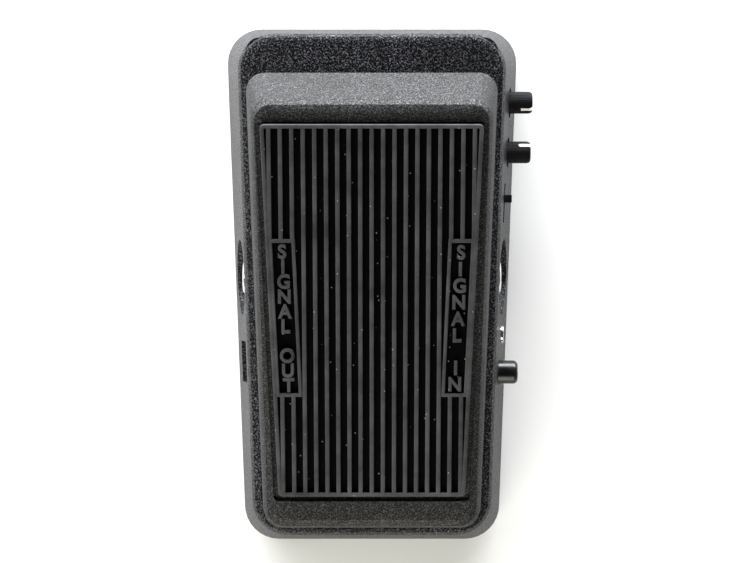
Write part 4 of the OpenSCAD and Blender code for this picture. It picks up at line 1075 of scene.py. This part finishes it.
class PEDAL_OT_slider(bpy.types.Operator):
    """Range switch handle with grip ridges, on its wiper."""

    bl_idname = "pedal.slider"
    bl_label = "Range slider"

    def execute(self, context):
        low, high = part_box("range_slider")
        middle = (low + high) / 2
        wiper_thick, handle_half, overlap = 1.8 * MM, 1.15 * MM, 0.3 * MM
        ridge_pitch, ridge_half, ridge_start, ridge_end = 0.62 * MM, 0.14 * MM, 1.4 * MM, 0.24 * MM
        bm = bmesh.new()
        wiper = block(bm, low, (low.x + wiper_thick, high.y, high.z))
        round_edges(bm, edges_of(wiper, lambda e: True), 0.15 * MM, 2)
        handle = block(
            bm, (low.x + wiper_thick - overlap, middle.y - handle_half, low.z),
            (high.x, middle.y + handle_half, high.z),
        )
        outer = edges_of(handle, lambda e: any(v.co.x > middle.x for v in e.verts))
        round_edges(bm, outer, 0.25 * MM, 3)
        for k in (-1, 0, 1):
            y = middle.y + k * ridge_pitch
            ridge = block(
                bm, (high.x - ridge_start, y - ridge_half, high.z - ridge_half),
                (high.x - ridge_end, y + ridge_half, high.z),
            )
            round_edges(bm, edges_of(ridge, lambda e: along(e, (1, 0, 0))), 0.06 * MM, 2)
        stand_in(bm, "range_slider_handle", "range_slider")
        return {"FINISHED"}


class PEDAL_OT_feet(bpy.types.Operator):
    """Rubber feet with rounded treads and sunk screw wells."""

    bl_idname = "pedal.feet"
    bl_label = "Feet"

    def execute(self, context):
        low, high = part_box("rubber_feet")
        radius, well, well_floor, hole = 6.0 * MM, 3.4 * MM, 1.0 * MM, 1.56 * MM
        rounding, chamfer = 0.8 * MM, 0.3 * MM
        near = 2.5 * radius
        tall = high.z - low.z
        points = [v.co.xy.copy() for v in frame["nodes"]["rubber_feet"].data.vertices]
        places = []
        for point in points:
            if all((point - p).length > near for p in places):
                places.append(point)
        if len(places) != 4:
            raise RuntimeError("the feet weren't found")
        profile = [(tall, hole), (tall, radius), (rounding + 0.1 * MM, radius)]
        profile += arc((rounding, radius - rounding), rounding, 90, 180, 6)
        profile += [(0, well + chamfer), (chamfer, well), (tall - well_floor, well)]
        profile += [(tall - well_floor, hole), (tall, hole)]
        bm = bmesh.new()
        for mark in places:
            across = [p.x for p in points if (p - mark).length < near]
            down = [p.y for p in points if (p - mark).length < near]
            middle = ((min(across) + max(across)) / 2, (min(down) + max(down)) / 2, low.z)
            turned(bm, profile, middle, (0, 0, 1), 56)
        stand_in(bm, "feet_moulded", "rubber_feet", sharp=50)
        return {"FINISHED"}


class PEDAL_OT_footswitch(bpy.types.Operator):
    """Footswitch bushing with its thread, chamfered nut, washer and domed plunger."""

    bl_idname = "pedal.footswitch"
    bl_label = "Footswitch"

    def execute(self, context):
        chamfer = context.scene.pedal_controls.nut_chamfer
        foot, radius, tall = round_node("footswitch_bushing", 2)
        stem_foot, stem, stem_tall = round_node("footswitch_plunger", 2)
        play, thread_depth, thread_pitch = 0.05 * MM, 0.25 * MM, 0.8 * MM
        bore = stem + play
        # The nut and washer clear the thread by this radius
        hole = radius + 0.03 * MM

        def ring(profile, start):
            made = bmesh.new()
            turned(made, profile, (foot.x, foot.y, start.z), (0, 0, 1), 56)
            return made

        profile = [(0, 0), (0, radius - 0.3 * MM)]
        profile += threads(0.2 * MM, tall - 0.6 * MM, radius, thread_depth, thread_pitch)
        profile += [(tall - 0.5 * MM, radius - 0.1 * MM), (tall, radius - 0.6 * MM)]
        profile += [(tall, bore + 0.3 * MM), (tall - 0.3 * MM, bore), (0.3 * MM, bore)]
        profile += [(0.3 * MM, 0)]
        stand_in(ring(profile, foot), "footswitch_thread", "footswitch_bushing", sharp=32)

        start, corner, thick = round_node("footswitch_nut", 2)
        bm = bmesh.new()
        hexagon_nut(bm, (foot.x, foot.y, start.z), (0, 0, 1), corner, hole, thick, chamfer)
        stand_in(bm, "footswitch_hexagon", "footswitch_nut", sharp=32)

        start, outer, thick = round_node("footswitch_washer", 2)
        profile = [(0, hole), (0, outer - 0.1 * MM), (0.1 * MM, outer)]
        profile += [(thick - 0.2 * MM, outer), (thick, outer - 0.2 * MM)]
        profile += [(thick, hole), (0, hole)]
        stand_in(ring(profile, start), "footswitch_ring", "footswitch_washer", sharp=32)

        dome = 0.9 * MM
        profile = [(0, 0), (0, stem)] + arc((stem_tall - dome, stem - dome), dome, 90, 18, 7)
        profile += [(stem_tall - 0.12 * MM, stem * 0.45), (stem_tall, 0)]
        stand_in(ring(profile, stem_foot), "footswitch_stem", "footswitch_plunger", sharp=40)
        return {"FINISHED"}


class PEDAL_OT_stage(bpy.types.Operator):
    """Pale floor, soft light and the camera."""

    bl_idname = "pedal.stage"
    bl_label = "Stage"

    def execute(self, context):
        sizes = context.scene.pedal_stage
        bm = bmesh.new()
        bmesh.ops.create_grid(bm, x_segments=1, y_segments=1, size=sizes.floor_size / 2)
        bmesh.ops.translate(bm, verts=bm.verts, vec=(0, 0, CAD_BOX[0][2]))
        mesh = bpy.data.meshes.new("floor")
        bm.to_mesh(mesh)
        bm.free()
        paint = {"Roughness": 0.9, "Base Color": linear("D6D6D5")}
        mesh.materials.append(new_finish("Matt white painted board", paint)[0])
        new_object("floor", mesh)

        world = bpy.data.worlds.new("Soft room")
        world.use_nodes = True
        room = world.node_tree.nodes["Background"].inputs
        room["Color"].default_value = linear("F2F5F8")
        room["Strength"].default_value = sizes.room
        context.scene.world = world

        # Each soft box has a place, a width and height, a power and a colour
        aim = Vector((0, 0, 20 * MM))
        for name, place, size, watts, code in (
            ("key", (-0.95, 0.3, 0.65), (0.9, 0.6), sizes.key, "FDFEFB"),
            ("toe", (-0.1, 1.1, 0.27), (2.4, 0.5), sizes.toe, "F9FBFF"),
            ("fill", (0.95, -0.1, 0.75), (0.7, 0.7), sizes.fill, "FFF6EC"),
            ("heel", (-0.25, -1.05, 0.45), (1.4, 0.8), sizes.heel, "FFFDF2"),
        ):
            light = bpy.data.lights.new(name, "AREA")
            light.color = linear(code)[:3]
            light.shape = "RECTANGLE"
            light.size, light.size_y = size
            light.energy = watts
            turn = (aim - Vector(place)).to_track_quat("-Z", "Y").to_matrix().to_4x4()
            new_object(name, light).matrix_world = Matrix.Translation(place) @ turn

        camera = bpy.data.cameras.new("camera")
        camera.lens = sizes.camera_lens
        camera.sensor_width = 36
        camera.clip_start = 0.01
        camera.clip_end = 20
        holder = new_object("camera", camera)
        holder.location = (0.9 * MM, 0.75 * MM, sizes.camera_height)
        context.scene.camera = holder
        context.scene.view_settings.view_transform = "Standard"
        return {"FINISHED"}


class PEDAL_OT_base(bpy.types.Operator):
    """Sheet base plate with rounded edges, and its four screws."""

    bl_idname = "pedal.base"
    bl_label = "Base plate and screws"

    def execute(self, context):
        rounded_copies(("base_plate", 0.3), ("base_screws", 0.2))
        return {"FINISHED"}


class PEDAL_OT_pivot(bpy.types.Operator):
    """Axle, retaining clips and flanged bushings."""

    bl_idname = "pedal.pivot"
    bl_label = "Pivot"

    def execute(self, context):
        rounded_copies(("pivot_axle", 0.25), ("axle_clips", 0.1), ("lug_bushings", 0.15))
        return {"FINISHED"}


class PEDAL_OT_bumpers(bpy.types.Operator):
    """Rubber domes under the heel and the rubber pad under the toe."""

    bl_idname = "pedal.bumpers"
    bl_label = "Bumpers"

    def execute(self, context):
        rounded_copies(("heel_bumpers", 0.2), ("toe_pad", 0.5))
        return {"FINISHED"}


class PEDAL_OT_sweep_drive(bpy.types.Operator):
    """Rack, pinion, guide, brackets and the sweep potentiometer."""

    bl_idname = "pedal.sweep_drive"
    bl_label = "Sweep drive"

    def execute(self, context):
        rounded_copies(
            ("rack", 0.08), ("pinion", 0.08), ("rack_guide", 0.25), ("guide_screws", 0.15),
            ("pot_bracket", 0.2), ("bracket_screws", 0.15), ("rack_bracket", 0.2),
            ("rack_bracket_screws", 0.15), ("rack_pin", 0.2), ("sweep_pot_body", 0.3),
            ("sweep_pot_nut", 0.2), ("sweep_pot_shaft", 0.2), ("sweep_pot_ribbon", 0.1),
        )
        return {"FINISHED"}


class PEDAL_OT_board(bpy.types.Operator):
    """Circuit board, its screws and the parts soldered to it."""

    bl_idname = "pedal.board"
    bl_label = "Circuit board"

    def execute(self, context):
        rounded_copies(
            ("main_board", 0.1), ("board_screws", 0.15), ("inductor", 0.4),
            ("film_capacitors", 0.4), ("electrolytic_capacitors", 0.3), ("resistors", 0.3),
            ("transistors", 0.15),
        )
        return {"FINISHED"}


class PEDAL_OT_switches_and_sockets(bpy.types.Operator):
    """Bodies of the jacks, power socket, potentiometers and switches."""

    bl_idname = "pedal.switches_and_sockets"
    bl_label = "Switches and sockets"

    def execute(self, context):
        rounded_copies(
            ("input_jack_body", 0.25), ("output_jack_body", 0.25), ("input_jack_contacts", 0.05),
            ("output_jack_contacts", 0.05), ("power_socket_body", 0.25), ("power_socket_pin", 0.2),
            ("volume_pot_body", 0.25), ("q_pot_body", 0.25), ("range_switch_body", 0.2),
            ("boost_switch_body", 0.2), ("footswitch_body", 0.3), ("footswitch_terminals", 0.1),
            ("footswitch_ribbon", 0.1),
        )
        return {"FINISHED"}


class PEDAL_OT_plain_nodes(bpy.types.Operator):
    """Finishes on the CAD nodes whose shape is right: the lens and the pointer lines."""

    bl_idname = "pedal.plain_nodes"
    bl_label = "Lens and pointer lines"

    def execute(self, context):
        dress("indicator_light", "volume_pointer", "q_pointer")
        return {"FINISHED"}


GROUPS = (CastingSizes, PadSizes, ControlSizes, Colours, StageSizes)
OPERATORS = (
    PEDAL_OT_housing, PEDAL_OT_treadle, PEDAL_OT_pad, PEDAL_OT_knobs, PEDAL_OT_boost_button,
    PEDAL_OT_slider, PEDAL_OT_light, PEDAL_OT_jacks, PEDAL_OT_feet, PEDAL_OT_footswitch,
    PEDAL_OT_base, PEDAL_OT_pivot, PEDAL_OT_bumpers, PEDAL_OT_sweep_drive, PEDAL_OT_board,
    PEDAL_OT_switches_and_sockets, PEDAL_OT_plain_nodes, PEDAL_OT_stage,
)


class PEDAL_PT_sidebar(bpy.types.Panel):
    """Lists the pedal's pieces."""

    bl_idname = "PEDAL_PT_sidebar"
    bl_label = "Rocker pedal"
    bl_space_type = "VIEW_3D"
    bl_region_type = "UI"
    bl_category = "Rocker pedal"

    def draw(self, context):
        for made in OPERATORS:
            self.layout.operator(made.bl_idname)


def register():
    for group in GROUPS:
        bpy.utils.register_class(group)
    for made in OPERATORS:
        bpy.utils.register_class(made)
    bpy.utils.register_class(PEDAL_PT_sidebar)
    scene = bpy.types.Scene
    scene.pedal_castings = PointerProperty(type=CastingSizes)
    scene.pedal_pad = PointerProperty(type=PadSizes)
    scene.pedal_controls = PointerProperty(type=ControlSizes)
    scene.pedal_colours = PointerProperty(type=Colours)
    scene.pedal_stage = PointerProperty(type=StageSizes)


def unregister():
    scene = bpy.types.Scene
    for name in ("pedal_castings", "pedal_pad", "pedal_controls", "pedal_colours", "pedal_stage"):
        delattr(scene, name)
    bpy.utils.unregister_class(PEDAL_PT_sidebar)
    for made in reversed(OPERATORS + GROUPS):
        bpy.utils.unregister_class(made)


def main():
    """Register the classes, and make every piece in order."""
    register()
    for made in OPERATORS:
        group, name = made.bl_idname.split(".")
        getattr(getattr(bpy.ops, group), name)()


if __name__ == "__main__":
    main()
